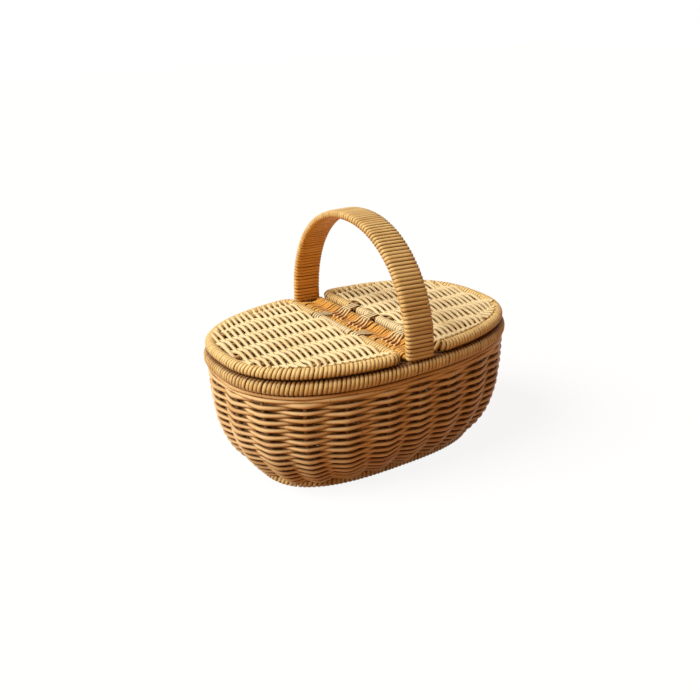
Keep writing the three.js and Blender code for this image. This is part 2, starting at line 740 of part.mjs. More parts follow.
basket.add(
  piece("base_frame", baseFrame(), CANE.core),
  piece("base_weave", baseWeave(), CANE.honey),
  piece("foot_wrap", footWrap(), CANE.wound),
  piece("wall_weave", wallWeave(), CANE.honey),
  piece("rim_hoop_outer", rimHoop(1), CANE.core),
  piece("rim_hoop_inner", rimHoop(-1), CANE.core),
  piece("rim_wrap", rimWrap(), CANE.wound),
  piece("handle_wrap", handleWrap(), CANE.wound),
  piece("bridge_weave", bridgeWeave(), CANE.bridge),
);
for (const i of stakeRange()) {
  const name = "stake_" + String(i + 1).padStart(2, "0");
  basket.add(piece(name, stake(i), CANE.core));
}
for (let i = 0; i < ROD_COUNT; i++) {
  basket.add(piece("handle_rod_" + (i + 1), handleRod(i), CANE.core));
}
for (const { name, side } of SIDES) {
  basket.add(piece("bridge_rail_" + name, bridgeRail(side), CANE.core));
  LOOP_PLACES[name].forEach((y, i) => {
    basket.add(piece("hinge_loop_" + name + "_" + (i + 1), hingeLoop(side, y), CANE.pale));
  });
}
basket.add(...SIDES.map(lid));

export default basket;
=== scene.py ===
"""Looks of a small oval picnic basket woven in round cane, built round its packed frame.

Metres, +Z up, +X along the basket, +Y across it. Every cane is a tube carried along its own path.
"""

import json
import math

import bpy
import numpy as np
from bpy.props import (EnumProperty, FloatProperty, FloatVectorProperty, IntProperty,
                       PointerProperty)
from mathutils import Matrix, Vector


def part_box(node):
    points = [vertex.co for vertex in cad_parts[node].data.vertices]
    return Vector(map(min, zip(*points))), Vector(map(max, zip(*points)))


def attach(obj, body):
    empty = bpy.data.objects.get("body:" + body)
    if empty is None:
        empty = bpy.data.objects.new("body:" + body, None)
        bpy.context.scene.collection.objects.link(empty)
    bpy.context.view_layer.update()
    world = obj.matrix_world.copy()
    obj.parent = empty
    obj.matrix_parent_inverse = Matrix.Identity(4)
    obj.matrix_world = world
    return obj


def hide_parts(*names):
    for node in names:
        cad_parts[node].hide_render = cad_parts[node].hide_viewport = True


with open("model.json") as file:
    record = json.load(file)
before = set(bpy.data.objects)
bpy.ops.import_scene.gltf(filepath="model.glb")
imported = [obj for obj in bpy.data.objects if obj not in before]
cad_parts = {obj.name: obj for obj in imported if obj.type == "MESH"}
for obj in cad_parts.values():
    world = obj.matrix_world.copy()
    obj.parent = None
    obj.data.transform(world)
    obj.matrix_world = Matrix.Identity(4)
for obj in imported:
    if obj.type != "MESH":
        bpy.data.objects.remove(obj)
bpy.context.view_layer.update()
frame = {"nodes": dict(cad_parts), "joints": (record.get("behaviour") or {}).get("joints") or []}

bl_info = {
    "name": "Oval Cane Picnic Basket",
    "version": (1, 0, 0),
    "blender": (4, 5, 0),
    "location": "3D View > Sidebar > Cane Basket",
    "description": "Weaves and winds the canes of an oval picnic basket over its frame",
    "category": "Add Mesh",
}

# What the frame gives: the nodes' boxes and the lids' hinge axes
HINGES = {joint["child"]: Vector(joint["pos_m"]) for joint in frame["joints"]}
HINGE_X = HINGES["right_lid"].x
HINGE_Z = HINGES["right_lid"].z
RIM_LOW, RIM_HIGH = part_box("rim_wrap")
FOOT_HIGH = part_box("foot_wrap")[1]
STRAP_LOW, STRAP_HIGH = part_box("handle_wrap")
BRIDGE_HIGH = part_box("bridge_weave")[1]
RAIL_LOW, RAIL_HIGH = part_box("bridge_rail_right")
LID_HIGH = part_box("right_lid_frame")[1]
LOOPS = {
    side: sorted(name for name in frame["nodes"] if name.startswith("hinge_loop_" + side))
    for side in ("left", "right")
}
UP = np.array([0.0, 0.0, 1.0])
ALONG_X = np.array([1.0, 0.0, 0.0])
TURN = 2 * math.pi
# What the strands tell the materials at each vertex: their own tone, their painted shade and
# their painted orange shade
LAYERS = ("tone", "painted_shade", "orange_shade")

# Gap between pieces that touch
SEAT = 0.0003

# How far handwork strays, as a share of a pitch, a lift, a width or a thickness
PITCH_STRAY = 0.1
BRIDGE_PITCH_STRAY = 0.35
LIFT_STRAY = 0.06
WIDTH_STRAY = 0.08
WOUND_WIDTH_STRAY = 0.06
THICKNESS_STRAY = 0.05
# In metres: the wall's courses, together and each by itself; a lid's canes, up and along; ribs
SHARED_SAG = 0.00022
OWN_SAG = 0.00013
LID_SAG = 0.0001
LID_SHIFT = 0.00022
RIB_STRAY = 0.0012
# The stakes' waves: share of the way round, waves round the basket, waves up the wall, phase
STAKE_WAVES = ((0.0028, 5, 0.35, 1.3), (0.0016, 9, -0.6, 0.0))

# Wall: path points from one stake to the next, how far the top rows lie outside and sway, how
# far the row below them dips inside, and how much wider it is
WALL_STEPS = 14
TOP_OUT = 0.62
TOP_SWAY = 0.2
BELOW_DIP = 0.35
BELOW_WIDER = 1.2
# Stakes: share of the way into the foot, depth of their ends below the rim's top, and how much
# is cut off the two under the handle
STAKE_FOOT = 0.35
STAKE_TOP = 0.0022
STAKE_CUT = 0.0045
# Foot: hoop as a share of the winding round it, and reach of the floor's canes into the ring
FOOT_HOOP = 0.66
FLOOR_TUCK = 0.0006

# Windings: squareness of the rim's and the strap's sections, and how far above the strap's ends
# its centre line starts; share of its pitch that a turn covers, and how its tone strays and drifts
RIM_SQUARE = 2.9
STRAP_SQUARE = 5
STRAP_END = 0.001
WOUND_COVER = 1.01
TONE_STRAY = 0.38
TONE_DRIFT = 0.2
# Painted shade on the faces of a winding's turns that look one way, where rim meets rim: its
# depth, and the cosines at which it starts and is full
FACE_SHADE_DEPTH = 0.7
FACE_SHADE_FROM = 0.5
FACE_SHADE_FULL = 0.9167

# Lids: power of the crown's dome, distance from an end at which a rib doesn't count, how far
# inside the hoop's centre line a weaver ends, where it starts to tuck in, how much higher it
# then goes, and how much thicker the last one is
CROWN_POWER = 0.4
NO_RIB = 0.007
WEAVER_END = 0.0024
TUCK_FROM = 0.008
TUCK_LIFT = 0.2
LAST_WEAVER = 1.3

# Loops: half a cane and its seat on the rail as shares of the cane, the phase at which a loop
# starts, and the share of its pitch that a turn covers
LOOP_HALF = 0.42
LOOP_SEAT = 0.4
LOOP_START = 0.62
LOOP_COVER = 0.74
# Fans: where they start and end, in distances of a rail from the middle, the share of the way
# at which they are tucked in, and how flat their canes are
FAN_START = 1.15
FAN_END = -0.95
FAN_TUCK = 0.86
FAN_FLAT = 1.3

# Stage: half the floor's width, and how far below the foot it lies
FLOOR_HALF = 4.0
FLOOR_DROP = 0.0002

# Tones, from 0 for the deep colour to 1 for the light one: bounds in each weave and in the fans,
# and how they drift along a cane
FLOOR_TONES = (0.2, 0.9)
WALL_TONES = (0.15, 0.95)
LID_TONES = (0.35, 1.0)
FAN_TONES = (0.4, 1.0)
WALL_TONE_DRIFT = 0.25
LID_TONE_DRIFT = 0.2
# Other canes' tone and its stray; a stake's strays by the sine of a step times its number
STAKE_TONE = 0.35
STAKE_TONE_STRAY = 0.3
STAKE_TONE_STEP = 2.4
BRIDGE_TONE = 0.55
BRIDGE_TONE_STRAY = 0.42
LOOP_TONE = 0.7
LOOP_TONE_STRAY = 0.3
# Painted orange shade, the colour of canes in shade lit by bounce light: in the bridge's dip,
# at a fan's start and what it gains, and the cosines at which the handle's inner face starts
# to take it and takes it in full
BRIDGE_ORANGE_SHADE = 0.6
FAN_ORANGE_SHADE = 0.1
FAN_ORANGE_SHADE_RISE = 0.4
INSIDE_FROM = 0.25
INSIDE_FULL = 0.75

# Roughness and coat of each kind of cane
FINISHES = {
    "pale": (0.48, 0.03),
    "honey": (0.46, 0.03),
    "wound": (0.44, 0.04),
    "bridge": (0.44, 0.04),
    "core": (0.58, 0.0),
    "bare": (0.6, 0.0),
}
# Scales of the noises; fibres and blotches are stretched along the strand
FIBRE_SCALE = (160, 4200, 160)
BLOTCH_SCALE = (70, 260, 70)
PATCH_SCALE = 55
FLECK_SCALE = 420
# Shade from the deep colour to the light one: its base, and the weight of each layer
SHADE_BASE = -0.44
TONE_WEIGHT = 0.75
PATCH_WEIGHT = 0.9
BLOTCH_WEIGHT = 0.55
FIBRE_WEIGHT = 0.35
# Flecks: how sharp they are, the noise at which they start, and their depth
FLECK_GAIN = 9
FLECK_FROM = 0.7
FLECK_DEPTH = 0.6
# Painted shade in the grooves and on faces turned into the weave: how quickly it changes faces
# where a strand goes inside, its bias to the inner face, what the fibres add, its gain and offset,
# and how much bare cane has, the same all over
FACE_RATE = 1.6
FACE_BIAS = 0.7
PAINTED_SHADE_FIBRE = 0.25
PAINTED_SHADE_GAIN = 1.05
PAINTED_SHADE_OFFSET = -0.12
BARE_PAINTED_SHADE = 0.25
# Gloss and relief of the fibres
ROUGH_SPREAD = 0.22
BUMP_STRENGTH = 0.35
BUMP_DEPTH = 0.0003


def length(default, description):
    """A size in metres."""
    return FloatProperty(default=default, min=0.0, unit="LENGTH", precision=4,
                         description=description)


def share(default, description):
    """A plain number between 0 and 4."""
    return FloatProperty(default=default, min=0.0, max=4.0, description=description)


def angle(default, description):
    """An angle in degrees."""
    return FloatProperty(default=math.radians(default), unit="ROTATION",
                         description=description)


def count(default, description):
    """How many of a thing there are."""
    return IntProperty(default=default, min=1, description=description)


def colour(default, description):
    """A linear colour."""
    return FloatVectorProperty(default=default, size=3, min=0.0, max=1.0,
                               subtype="COLOR", description=description)


class BodySizes(bpy.types.PropertyGroup):
    """Sizes of the body, its rim, its foot and the handle."""

    rim_thickness: length(0.0104, "Body rim across its winding")
    rim_square_x: share(2.35, "Squareness of the rim's oval at its ends")
    rim_square_y: share(2.6, "Squareness of the rim's oval at its sides")
    foot_square: share(2.8, "Squareness of the foot's oval")
    foot_thickness: length(0.0066, "Foot ring across its winding")
    belly: share(3.4, "How quickly the wall swells out")
    set_out: length(0.0005, "From the foot ring's middle to the wall")
    stakes: count(22, "Upright canes of the wall")
    stake: length(0.0028, "Diameter of a stake")
    weaver: length(0.0029, "Thickness of the wall's canes")
    spread_out: share(0.22, "How much a weaver flattens outside a stake")
    spread_in: share(1.3, "How much a weaver flattens inside a stake")
    courses: count(30, "Rows of weaving up the wall")
    top_courses: count(2, "Rows that stay outside the stakes")
    rim_turns: count(208, "Turns wound round the rim")
    foot_turns: count(142, "Turns wound round the foot")
    handle_turns: count(92, "Turns wound round the handle")
    handle_spring: length(0.098, "Height at which the handle starts to bend")
    handle_square: share(2.1, "Squareness of the handle's arch")
    wound_cane: length(0.0014, "Thickness of the windings' cane")
    floor_rib: length(0.0022, "Diameter of a floor stick")
    floor_ribs: count(5, "Sticks that the floor is woven on")
    floor_rib_pitch: length(0.018, "Distance between the floor's sticks")
    floor_weaver: length(0.0015, "Thickness of the floor's canes")
    floor_weavers: count(79, "Canes woven across the floor")
    floor_spread: share(0.8, "How much the floor's canes flatten at a stick")


class LidSizes(bpy.types.PropertyGroup):
    """Sizes of the two lids, the bridge between them and the cane loops that tie them."""

    rim: length(0.008, "Diameter of a lid's wound edge")
    rail: length(0.0074, "Diameter of a lid's wound straight rail")
    hoop: length(0.0044, "Diameter of the cane inside a lid's edge")
    corner: length(0.008, "Reach of a lid's corners")
    rib: length(0.0028, "Diameter of a lid's ribs")
    ribs: count(6, "Ribs that a lid is woven on")
    rib_pitch: length(0.022, "Distance between a lid's ribs")
    rib_shift: length(0.003, "Ribs' distance off the middle")
    weaver: length(0.0023, "Thickness of a lid's canes")
    weavers: count(35, "Canes woven across a lid")
    cover: share(1.03, "Share of its pitch that a lid's weaver covers")
    spread: share(0.28, "How much a weaver flattens at a rib")
    end_gap: length(0.0012, "From the last weaver to the lid's edge")
    crown: length(0.0019, "How far a lid's panel rises in the middle")
    rim_turns: count(97, "Turns wound round a lid's edge")
    fine_cane: length(0.0013, "Thickness of the cane on a rail")
    rail_pitch: length(0.0026, "From one turn to the next on a lid's rail")
    bridge_weaver: length(0.0015, "Thickness of the bridge's canes")
    bridge_turns: count(46, "Turns wound across the bridge")
    bridge_cover: share(0.92, "Share of its pitch that a turn covers")
    bridge_waist: length(0.001, "Height of the canes in the dip")
    bridge_slant: share(0.38, "Way along the bridge for the way across")
    fan_spread: share(0.8, "How much a loop's canes fan out")
    fan_slant: share(0.55, "Way to the front for a fan's way across")
    loop_turns: count(3, "Turns of cane in one hinge loop")


class CaneColours(bpy.types.PropertyGroup):
    """Colours of the varnished canes."""

    pale: colour((0.91, 0.77, 0.45), "Split cane woven across the lids")
    pale_deep: colour((0.70, 0.48, 0.19), "Darker canes among the pale ones")
    honey: colour((0.90, 0.64, 0.31), "Round cane of the wall")
    honey_deep: colour((0.56, 0.27, 0.06), "Darker canes among the wall's")
    wound: colour((0.87, 0.65, 0.28), "Cane wound round rims, foot and handle")
    wound_deep: colour((0.58, 0.32, 0.08), "Darker turns of the windings")
    # Painted shade: the bridge's canes are the lids' cane made deep orange, for the shade of the
    # low bridge between the lids
    bridge: colour((0.82, 0.47, 0.11), "Canes laid across the bridge")
    bridge_deep: colour((0.56, 0.25, 0.04), "Darker canes of the bridge")
    core: colour((0.60, 0.39, 0.18), "Plain canes inside the windings")
    core_deep: colour((0.36, 0.19, 0.07), "Darker patches of plain canes")
    # Painted orange shade: canes in shade lit by bounce light, on the handle's inner face, in the
    # bridge's dip and along the fans
    glow: colour((0.96, 0.45, 0.07), "Deeper varnish on handle and bridge")
    # Colour of the painted shade in the grooves between canes and on faces turned into the weave,
    # and of the small brown flecks
    crevice: colour((0.115, 0.030, 0.003), "Stain that gathers between the canes")


class StageSettings(bpy.types.PropertyGroup):
    """The lamps, the floor and the camera."""

    key: share(3.9, "Strength of the lamp on the upper left")
    key_from: FloatVectorProperty(default=(-0.69, 0.13, 0.71), subtype="XYZ",
                                  description="Direction that the lamp shines from")
    key_angle: angle(42, "Width of the lamp as the basket sees it")
    key_tint: colour((1.0, 0.99, 0.93), "Colour of the lamp")
    room: share(0.26, "Strength of the even light all round")
    room_tint: colour((1.0, 0.43, 0.10), "Colour of the even light all round")
    floor: colour((0.36, 0.17, 0.05), "Floor as it lights the basket")
    floor_seen: colour((0.5, 0.5, 0.5), "Floor as seen")
    floor_white: share(1.15, "White that the floor shows")
    white_share: share(0.78, "Its share in the floor as seen")
    azimuth: angle(-32.3, "Direction that the camera stands in, from the front")
    elevation: angle(21.8, "Height of the camera above the horizon")
    roll: angle(-1.925, "Lean of the camera")
    distance: length(0.651, "From the camera to the point it looks at")
    lens: FloatProperty(default=45.2, min=1.0, unit="CAMERA",
                        description="Focal length on a sensor 36 mm wide")
    target: FloatVectorProperty(default=(-0.0079, 0.0, 0.0768), subtype="XYZ",
                                unit="LENGTH", description="Point that the camera looks at")


# Paths

def unit(vectors):
    """Vectors divided by their own lengths."""
    return vectors / np.maximum(np.linalg.norm(vectors, axis=-1, keepdims=True), 1e-12)


def points(x, y, z):
    """Three coordinates as an array of points."""
    return np.stack(np.broadcast_arrays(x, y, z), axis=-1).astype(float)


def ramp(x, low, high):
    """The S-curve 3t^2 - 2t^3 with t = (x - low) / (high - low), kept between 0 and 1."""
    t = np.clip((x - low) / (high - low), 0, 1)
    return t * t * (3 - 2 * t)


def drift(x, seed, waves=6, fastest=7):
    """Smooth seeded unevenness, about -1 to 1, that repeats when x grows by 1: sines of 1 to
    fastest waves with random phases and weights."""
    rng = np.random.default_rng(seed)
    rate = rng.integers(1, fastest + 1, waves) * TURN
    phase = rng.uniform(0, TURN, waves)
    weight = rng.uniform(0.4, 1, waves)
    waving = np.sin(np.asarray(x, float)[..., None] * rate + phase) * weight
    return waving.sum(-1) / weight.sum() * 1.5


def uneven(turn, seed):
    """One random number between -1 and 1 for each whole turn, and straight lines between them."""
    rng = np.random.default_rng(seed)
    knots = rng.uniform(-1, 1, int(np.max(turn)) + 2)
    knots[-2:] = knots[0]
    return np.interp(turn, np.arange(len(knots)), knots)


def tones(seed, bounds, number):
    """A random tone between two bounds for each of a number of canes, one to a row."""
    return np.random.default_rng(seed).uniform(*bounds, number)[:, None]


def ripple(phase, bend=0.94):
    """Side of the weave that a strand lies on, from -1 to 1: it runs straight between two stakes
    and bends round each. Phase grows by 1 from one to the next."""
    return np.arcsin(bend * np.cos(math.pi * phase)) / math.asin(bend)


def even_run(run, at):
    """Points at shares of the length along a run of points, and the run's direction there."""
    gone = np.concatenate([[0], np.cumsum(np.linalg.norm(np.diff(run, axis=0), axis=1))])
    here = np.asarray(at) * gone[-1]

    def along(values):
        return np.stack([np.interp(here, gone, column) for column in values.T], axis=-1)
    return along(run), unit(along(np.gradient(run, gone, axis=0)))


def run_length(run):
    """Length of a run of points."""
    return np.linalg.norm(np.diff(run, axis=0), axis=1).sum()


def rounded_curve(at, a, b, square_x, square_y):
    """Points of an oval at angles: x = a cos^(2/square_x), y = b sin^(2/square_y), with the signs
    of the cosine and the sine kept. A squareness of 2 gives an ellipse."""
    c, s = np.cos(at), np.sin(at)
    x = a * np.sign(c) * np.abs(c) ** (2 / square_x)
    y = b * np.sign(s) * np.abs(s) ** (2 / square_y)
    return x, y


def oval(a, b, square_x, square_y, z, start=-math.pi / 2, sweep=TURN, steps=3001):
    """A level oval as a run of points, anticlockwise from the front."""
    at = start + sweep * np.linspace(0, 1, steps)
    return points(*rounded_curve(at, a, b, square_x, square_y), z)


def half_chord(a, b, square_a, square_b, x):
    """Half the width of an oval at x from its middle: b (1 - |x/a|^square_a)^(1/square_b)."""
    return b * (1 - np.clip(np.abs(x / a), 0, 1) ** square_a) ** (1 / square_b)


def outline(x, y):
    """Closed outline of a core: at a phase from 0 to 1, a point at even steps and its normal."""
    run = points(x, y, 0)

    def section(phase):
        place, heading = even_run(run, np.asarray(phase) % 1)
        return place[..., 0], place[..., 1], heading[..., 1], -heading[..., 0]
    return section


def rounded(half_x, half_y, square):
    """Outline of a rounded rectangle |x/half_x|^square + |y/half_y|^square = 1."""
    return outline(*rounded_curve(np.linspace(0, TURN, 721), half_x, half_y, square, square))


def wound(run, section, turns, steps, hand, up, lean, seed, closed):
    """Path of a cane wound round a core along a run, each turn straying a little. The section's
    x axis points out, to the right of the heading where hand is 1 and to the left where it is
    -1. Lean shifts the outer face's upper half forward. Gives the path, the direction away from
    the core, the x part of the section's normal, and the turns."""
    long = run_length(run)
    turn = np.arange(turns * steps + (0 if closed else 1)) / steps
    phase = hand * turn
    shift = PITCH_STRAY * uneven(turn, seed) * long / turns + lean * hand * np.sin(TURN * phase)
    at = turn / turns + shift / long
    place, heading = even_run(run, at % 1 if closed else np.clip(at, 0, 1))
    out = hand * unit(np.cross(heading, up))
    x, y, normal_x, normal_y = section(phase)
    path = place + x[:, None] * out + y[:, None] * up
    away = normal_x[:, None] * out + normal_y[:, None] * up
    return path, away, normal_x, turn


# Surfaces

def strands(path, away, half_side, half_away, sides=8, closed=False, tone=0.5, side_of=1.0,
            groove_shade=0.4, inside_shade=0.75, face_shade=0.0, orange_shade=0.0):
    """Tubes along many paths at once. At each path point the section is an ellipse: half_away
    along the away direction, half_side square to it and to the path. Tone is the cane's own
    shade. Stain grows in the grooves at the section's sides, and on the face that looks into
    the weave: side_of is 1 where the strand lies on the away side, and -1 on the other. Soil
    is more stain, and warm is deeper varnish, both all round the section."""
    path = np.asarray(path, float)
    if path.ndim == 2:
        path = path[None]
    if closed:
        tangent = unit(np.roll(path, -1, axis=1) - np.roll(path, 1, axis=1))
    else:
        tangent = unit(np.gradient(path, axis=1))
    side = unit(np.cross(np.broadcast_to(away, path.shape), tangent))
    away = np.cross(tangent, side)
    number, steps = path.shape[:2]

    def spread(value):
        return np.broadcast_to(np.asarray(value, float), (number, steps))[..., None]

    theta = TURN * (np.arange(sides) / sides) - math.pi / 2
    wide = spread(half_side) * np.cos(theta)
    high = spread(half_away) * np.sin(theta)
    vertices = path[:, :, None] + wide[..., None] * side[:, :, None]
    vertices = vertices + high[..., None] * away[:, :, None]
    # Painted shade: in the grooves at the section's sides, and on the face turned into the weave
    lies = np.clip(FACE_RATE * spread(side_of) + FACE_BIAS, -1, 1)
    painted_shade = groove_shade * np.cos(theta) ** 4 + inside_shade * (0.5 - 0.5 * lies * np.sin(theta))
    painted_shade = painted_shade + spread(face_shade)

    runs = steps if closed else steps - 1
    first = (np.arange(number) * steps * sides)[:, None, None]
    here = np.arange(runs)[None, :, None] * sides
    onward = ((np.arange(runs)[None, :, None] + 1) % steps) * sides
    j = np.arange(sides)[None, None, :]
    k = (j + 1) % sides
    quads = np.stack(np.broadcast_arrays(
        first + here + j, first + here + k, first + onward + k, first + onward + j), axis=-1)

    ahead = np.roll(path, -1, axis=1)[:, :runs] if closed else path[:, 1:]
    gone = np.cumsum(np.linalg.norm(ahead - path[:, :runs], axis=-1), axis=1)
    u_far = gone[:, :, None]
    u_near = np.concatenate([np.zeros((number, 1)), gone[:, :-1]], axis=1)[:, :, None]
    girth = float(np.mean(half_side) + np.mean(half_away)) * math.pi
    v_near, v_far = j / sides * girth, (j + 1) / sides * girth
    corners = ((u_near, v_near), (u_near, v_far), (u_far, v_far), (u_far, v_near))
    uv = np.stack([points(u, v, 0)[..., :2] for u, v in corners], axis=-2)

    caps = np.zeros((0, sides), int)
    if not closed:
        ends = (np.arange(number) * steps * sides)[:, None]
        ring = np.arange(sides)[None, :]
        caps = np.concatenate([ends + ring[:, ::-1], ends + (steps - 1) * sides + ring])
    return {
        "vertices": vertices.reshape(-1, 3),
        "quads": quads.reshape(-1, 4),
        "uv": uv.reshape(-1, 2),
        "caps": caps,
        "tone": np.broadcast_to(spread(tone), painted_shade.shape).ravel(),
        "painted_shade": np.clip(painted_shade, 0, 1).ravel(),
        "orange_shade": np.broadcast_to(spread(orange_shade), painted_shade.shape).ravel(),
    }


def add_object(name, data):
    """A new object in the scene."""
    made = bpy.data.objects.new(name, data)
    bpy.context.scene.collection.objects.link(made)
    return made


def piece(name, parts, kind, body, *nodes):
    """One mesh object from tubes in one kind of cane. It rides on a body and stands for nodes."""
    vertices, uv, *layers = (np.concatenate([part[key] for part in parts]).astype(np.float32)
                             for key in ("vertices", "uv", *LAYERS))
    starts = np.cumsum([0] + [len(part["vertices"]) for part in parts])
    quads = np.concatenate([part["quads"] + s for part, s in zip(parts, starts)])
    caps = [part["caps"] + s for part, s in zip(parts, starts)]
    corners = np.concatenate([quads.ravel()] + [cap.ravel() for cap in caps])
    totals = np.concatenate([np.full(len(f), f.shape[1]) for f in [quads] + caps])
    firsts = np.concatenate([[0], np.cumsum(totals)[:-1]])
    mesh = bpy.data.meshes.new(name)
    mesh.vertices.add(len(vertices))
    mesh.vertices.foreach_set("co", vertices.ravel())
    mesh.loops.add(len(corners))
    mesh.loops.foreach_set("vertex_index", corners.astype(np.int32))
    mesh.polygons.add(len(totals))
    mesh.polygons.foreach_set("loop_start", firsts.astype(np.int32))
    mesh.update(calc_edges=True)
    mesh.polygons.foreach_set("use_smooth", np.arange(len(totals)) < len(quads))
    uv = np.append(uv, np.zeros((len(corners) - len(uv), 2), np.float32), axis=0)
    mesh.uv_layers.new(name="cane").data.foreach_set("uv", uv.ravel())
    for key, values in zip(LAYERS, layers):
        mesh.attributes.new(key, "FLOAT", "POINT").data.foreach_set("value", values)
    if mesh.validate():
        raise RuntimeError(name + ": its mesh has faulty faces")
    mesh.materials.append(cane_material(kind))
    made = add_object(name, mesh)
    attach(made, body)
    if nodes:
        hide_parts(*nodes)


def dress(*nodes):
    """Puts bare cane on nodes of the frame that stay in sight."""
    for node in nodes:
        mesh = frame["nodes"][node].data
        mesh.materials.clear()
        mesh.materials.append(cane_material("bare"))


# Materials

def empty_tree(block):
    """The node tree of a material or a world, emptied."""
    block.use_nodes = True
    block.node_tree.nodes.clear()
    return block.node_tree


def add_node(tree, kind, values=None, **settings):
    """A shader node with its settings made and its sockets linked or set."""
    made = tree.nodes.new(kind)
    for key, value in settings.items():
        setattr(made, key, value)
    for key, value in (values or {}).items():
        if isinstance(value, bpy.types.NodeSocket):
            tree.links.new(value, made.inputs[key])
        else:
            made.inputs[key].default_value = value
    return made


def mix(tree, factor, a, b):
    """A colour between a and b."""
    made = add_node(tree, "ShaderNodeMix", {0: factor, 6: a, 7: b}, data_type="RGBA")
    return made.outputs[2]


def calculate(tree, operation, *values, clamp=False):
    """One step of arithmetic."""
    made = add_node(tree, "ShaderNodeMath", dict(enumerate(values)), operation=operation,
                    use_clamp=clamp)
    return made.outputs[0]


def noise(tree, vector, scale, detail, rough=0.5):
    """Noise with its value spread about 0.5. A scale of three numbers stretches it."""
    if isinstance(scale, tuple):
        values = {"Vector": vector, "Scale": scale}
        vector = add_node(tree, "ShaderNodeMapping", values).outputs["Vector"]
        scale = 1
    made = add_node(tree, "ShaderNodeTexNoise",
                    {"Vector": vector, "Scale": scale, "Detail": detail, "Roughness": rough})
    return made.outputs["Fac"]


def cane_material(kind):
    """Varnished cane of one kind, made at its first use. Four weighted layers lead from the deep
    colour to the light one: the strand's own tone, patches over several strands, blotches, and
    fibres along the strand. Then come warmer varnish, small brown flecks, and the stain of the
    hidden sides. Bare cane, on the frame's own pieces, is mapped by its place."""
    name = "varnished_" + kind
    if name in bpy.data.materials:
        return bpy.data.materials[name]
    colours = bpy.context.scene.cane_colours
    base = "core" if kind == "bare" else kind
    light, deep, glow, crevice = (
        (*getattr(colours, key), 1) for key in (base, base + "_deep", "glow", "crevice"))
    rough, coat = FINISHES[kind]
    material = bpy.data.materials.new(name)
    tree = empty_tree(material)
    place = add_node(tree, "ShaderNodeTexCoord").outputs["Object"]
    if kind == "bare":
        along = place
        tone = noise(tree, place, 60, 1)
        # Bare cane gets an even amount of painted shade and no painted orange shade
        painted_shade, orange_shade = BARE_PAINTED_SHADE, 0.0
    else:
        along = add_node(tree, "ShaderNodeUVMap", uv_map="cane").outputs["UV"]
        tone, painted_shade, orange_shade = (
            add_node(tree, "ShaderNodeAttribute", attribute_name=key).outputs["Fac"]
            for key in LAYERS)
    fibre = noise(tree, along, FIBRE_SCALE, 3, 0.6)
    layers = (
        (tone, TONE_WEIGHT),
        (noise(tree, place, PATCH_SCALE, 2), PATCH_WEIGHT),
        (noise(tree, along, BLOTCH_SCALE, 2), BLOTCH_WEIGHT),
        (fibre, FIBRE_WEIGHT),
    )
    shade = SHADE_BASE
    for layer, weight in layers:
        shade = calculate(tree, "MULTIPLY_ADD", layer, weight, shade)
    skin = mix(tree, shade, deep, light)
    # Painted orange shade
    skin = mix(tree, orange_shade, skin, glow)
    fleck = noise(tree, place, FLECK_SCALE, 1)
    fleck = calculate(tree, "MULTIPLY_ADD", fleck, FLECK_GAIN, -FLECK_GAIN * FLECK_FROM, clamp=True)
    skin = mix(tree, calculate(tree, "MULTIPLY", fleck, FLECK_DEPTH), skin, crevice)
    # Painted shade, roughened by the fibres, leads to the painted shade colour
    painted_shade_mix = calculate(tree, "MULTIPLY_ADD", fibre, PAINTED_SHADE_FIBRE, painted_shade)
    painted_shade_mix = calculate(tree, "MULTIPLY_ADD", painted_shade_mix, PAINTED_SHADE_GAIN, PAINTED_SHADE_OFFSET)
    skin = mix(tree, painted_shade_mix, skin, crevice)
    dull = calculate(tree, "MULTIPLY_ADD", fibre, ROUGH_SPREAD, rough - ROUGH_SPREAD / 2)
    bump = add_node(tree, "ShaderNodeBump",
                    {"Height": fibre, "Strength": BUMP_STRENGTH, "Distance": BUMP_DEPTH})
    shader = add_node(tree, "ShaderNodeBsdfPrincipled", {
        "Base Color": skin, "Roughness": dull, "Normal": bump.outputs["Normal"],
        "Specular IOR Level": 0.22, "Coat Weight": coat, "Coat Roughness": 0.3})
    add_node(tree, "ShaderNodeOutputMaterial", {"Surface": shader.outputs["BSDF"]})
    return material


# Body

def foot_sizes(sizes):
    """Half length, half width and height of the foot hoop's centre line."""
    half = sizes.foot_thickness / 2
    return FOOT_HIGH.x - half, FOOT_HIGH.y - half, FOOT_HIGH.z - half


def wall_middle(sizes, at, level):
    """Points of the wall's middle surface, one row for each level from 0 at the foot to 1 under
    the rim. The oval at a level lies between the foot's and the rim's by 1 - (1 - level)^belly.
    At is a share of the way round: one row for all levels, or a row for each."""
    foot_a, foot_b, foot_z = foot_sizes(sizes)
    half = sizes.rim_thickness / 2
    low = np.array([foot_a + sizes.set_out, foot_b + sizes.set_out,
                    sizes.foot_square, sizes.foot_square])
    high = np.array([RIM_HIGH.x - half, RIM_HIGH.y - half,
                     sizes.rim_square_x, sizes.rim_square_y])
    bottom = foot_z + sizes.foot_thickness / 2 + SEAT
    top = RIM_LOW.z - SEAT
    rows = []
    for k, height in enumerate(level):
        swell = 1 - (1 - height) ** sizes.belly
        run = oval(*(low + (high - low) * swell), bottom + (top - bottom) * height)
        rows.append(even_run(run, (at[k] if np.ndim(at) == 2 else at) % 1)[0])
    return np.array(rows)


def stake_stray(at, level):
    """How far a stake strays round the wall at a height, as a share of the way round: a sum of
    sines of its place and the height."""
    return sum(size * np.sin(TURN * (waves * at + rise * level) + phase)
               for size, waves, rise, phase in STAKE_WAVES)


def course_levels(sizes):
    """Levels of the courses' centres, at even steps of length up the wall, and that step."""
    fine = np.linspace(0, 1, 61)
    profile = wall_middle(sizes, np.arange(8) / 8 + 0.02, fine)
    gone = np.linalg.norm(np.diff(profile, axis=0), axis=-1).mean(axis=1)
    gone = np.concatenate([[0], np.cumsum(gone)])
    centres = (np.arange(sizes.courses) + 0.5) / sizes.courses
    return np.interp(centres * gone[-1], gone, fine), gone[-1] / sizes.courses


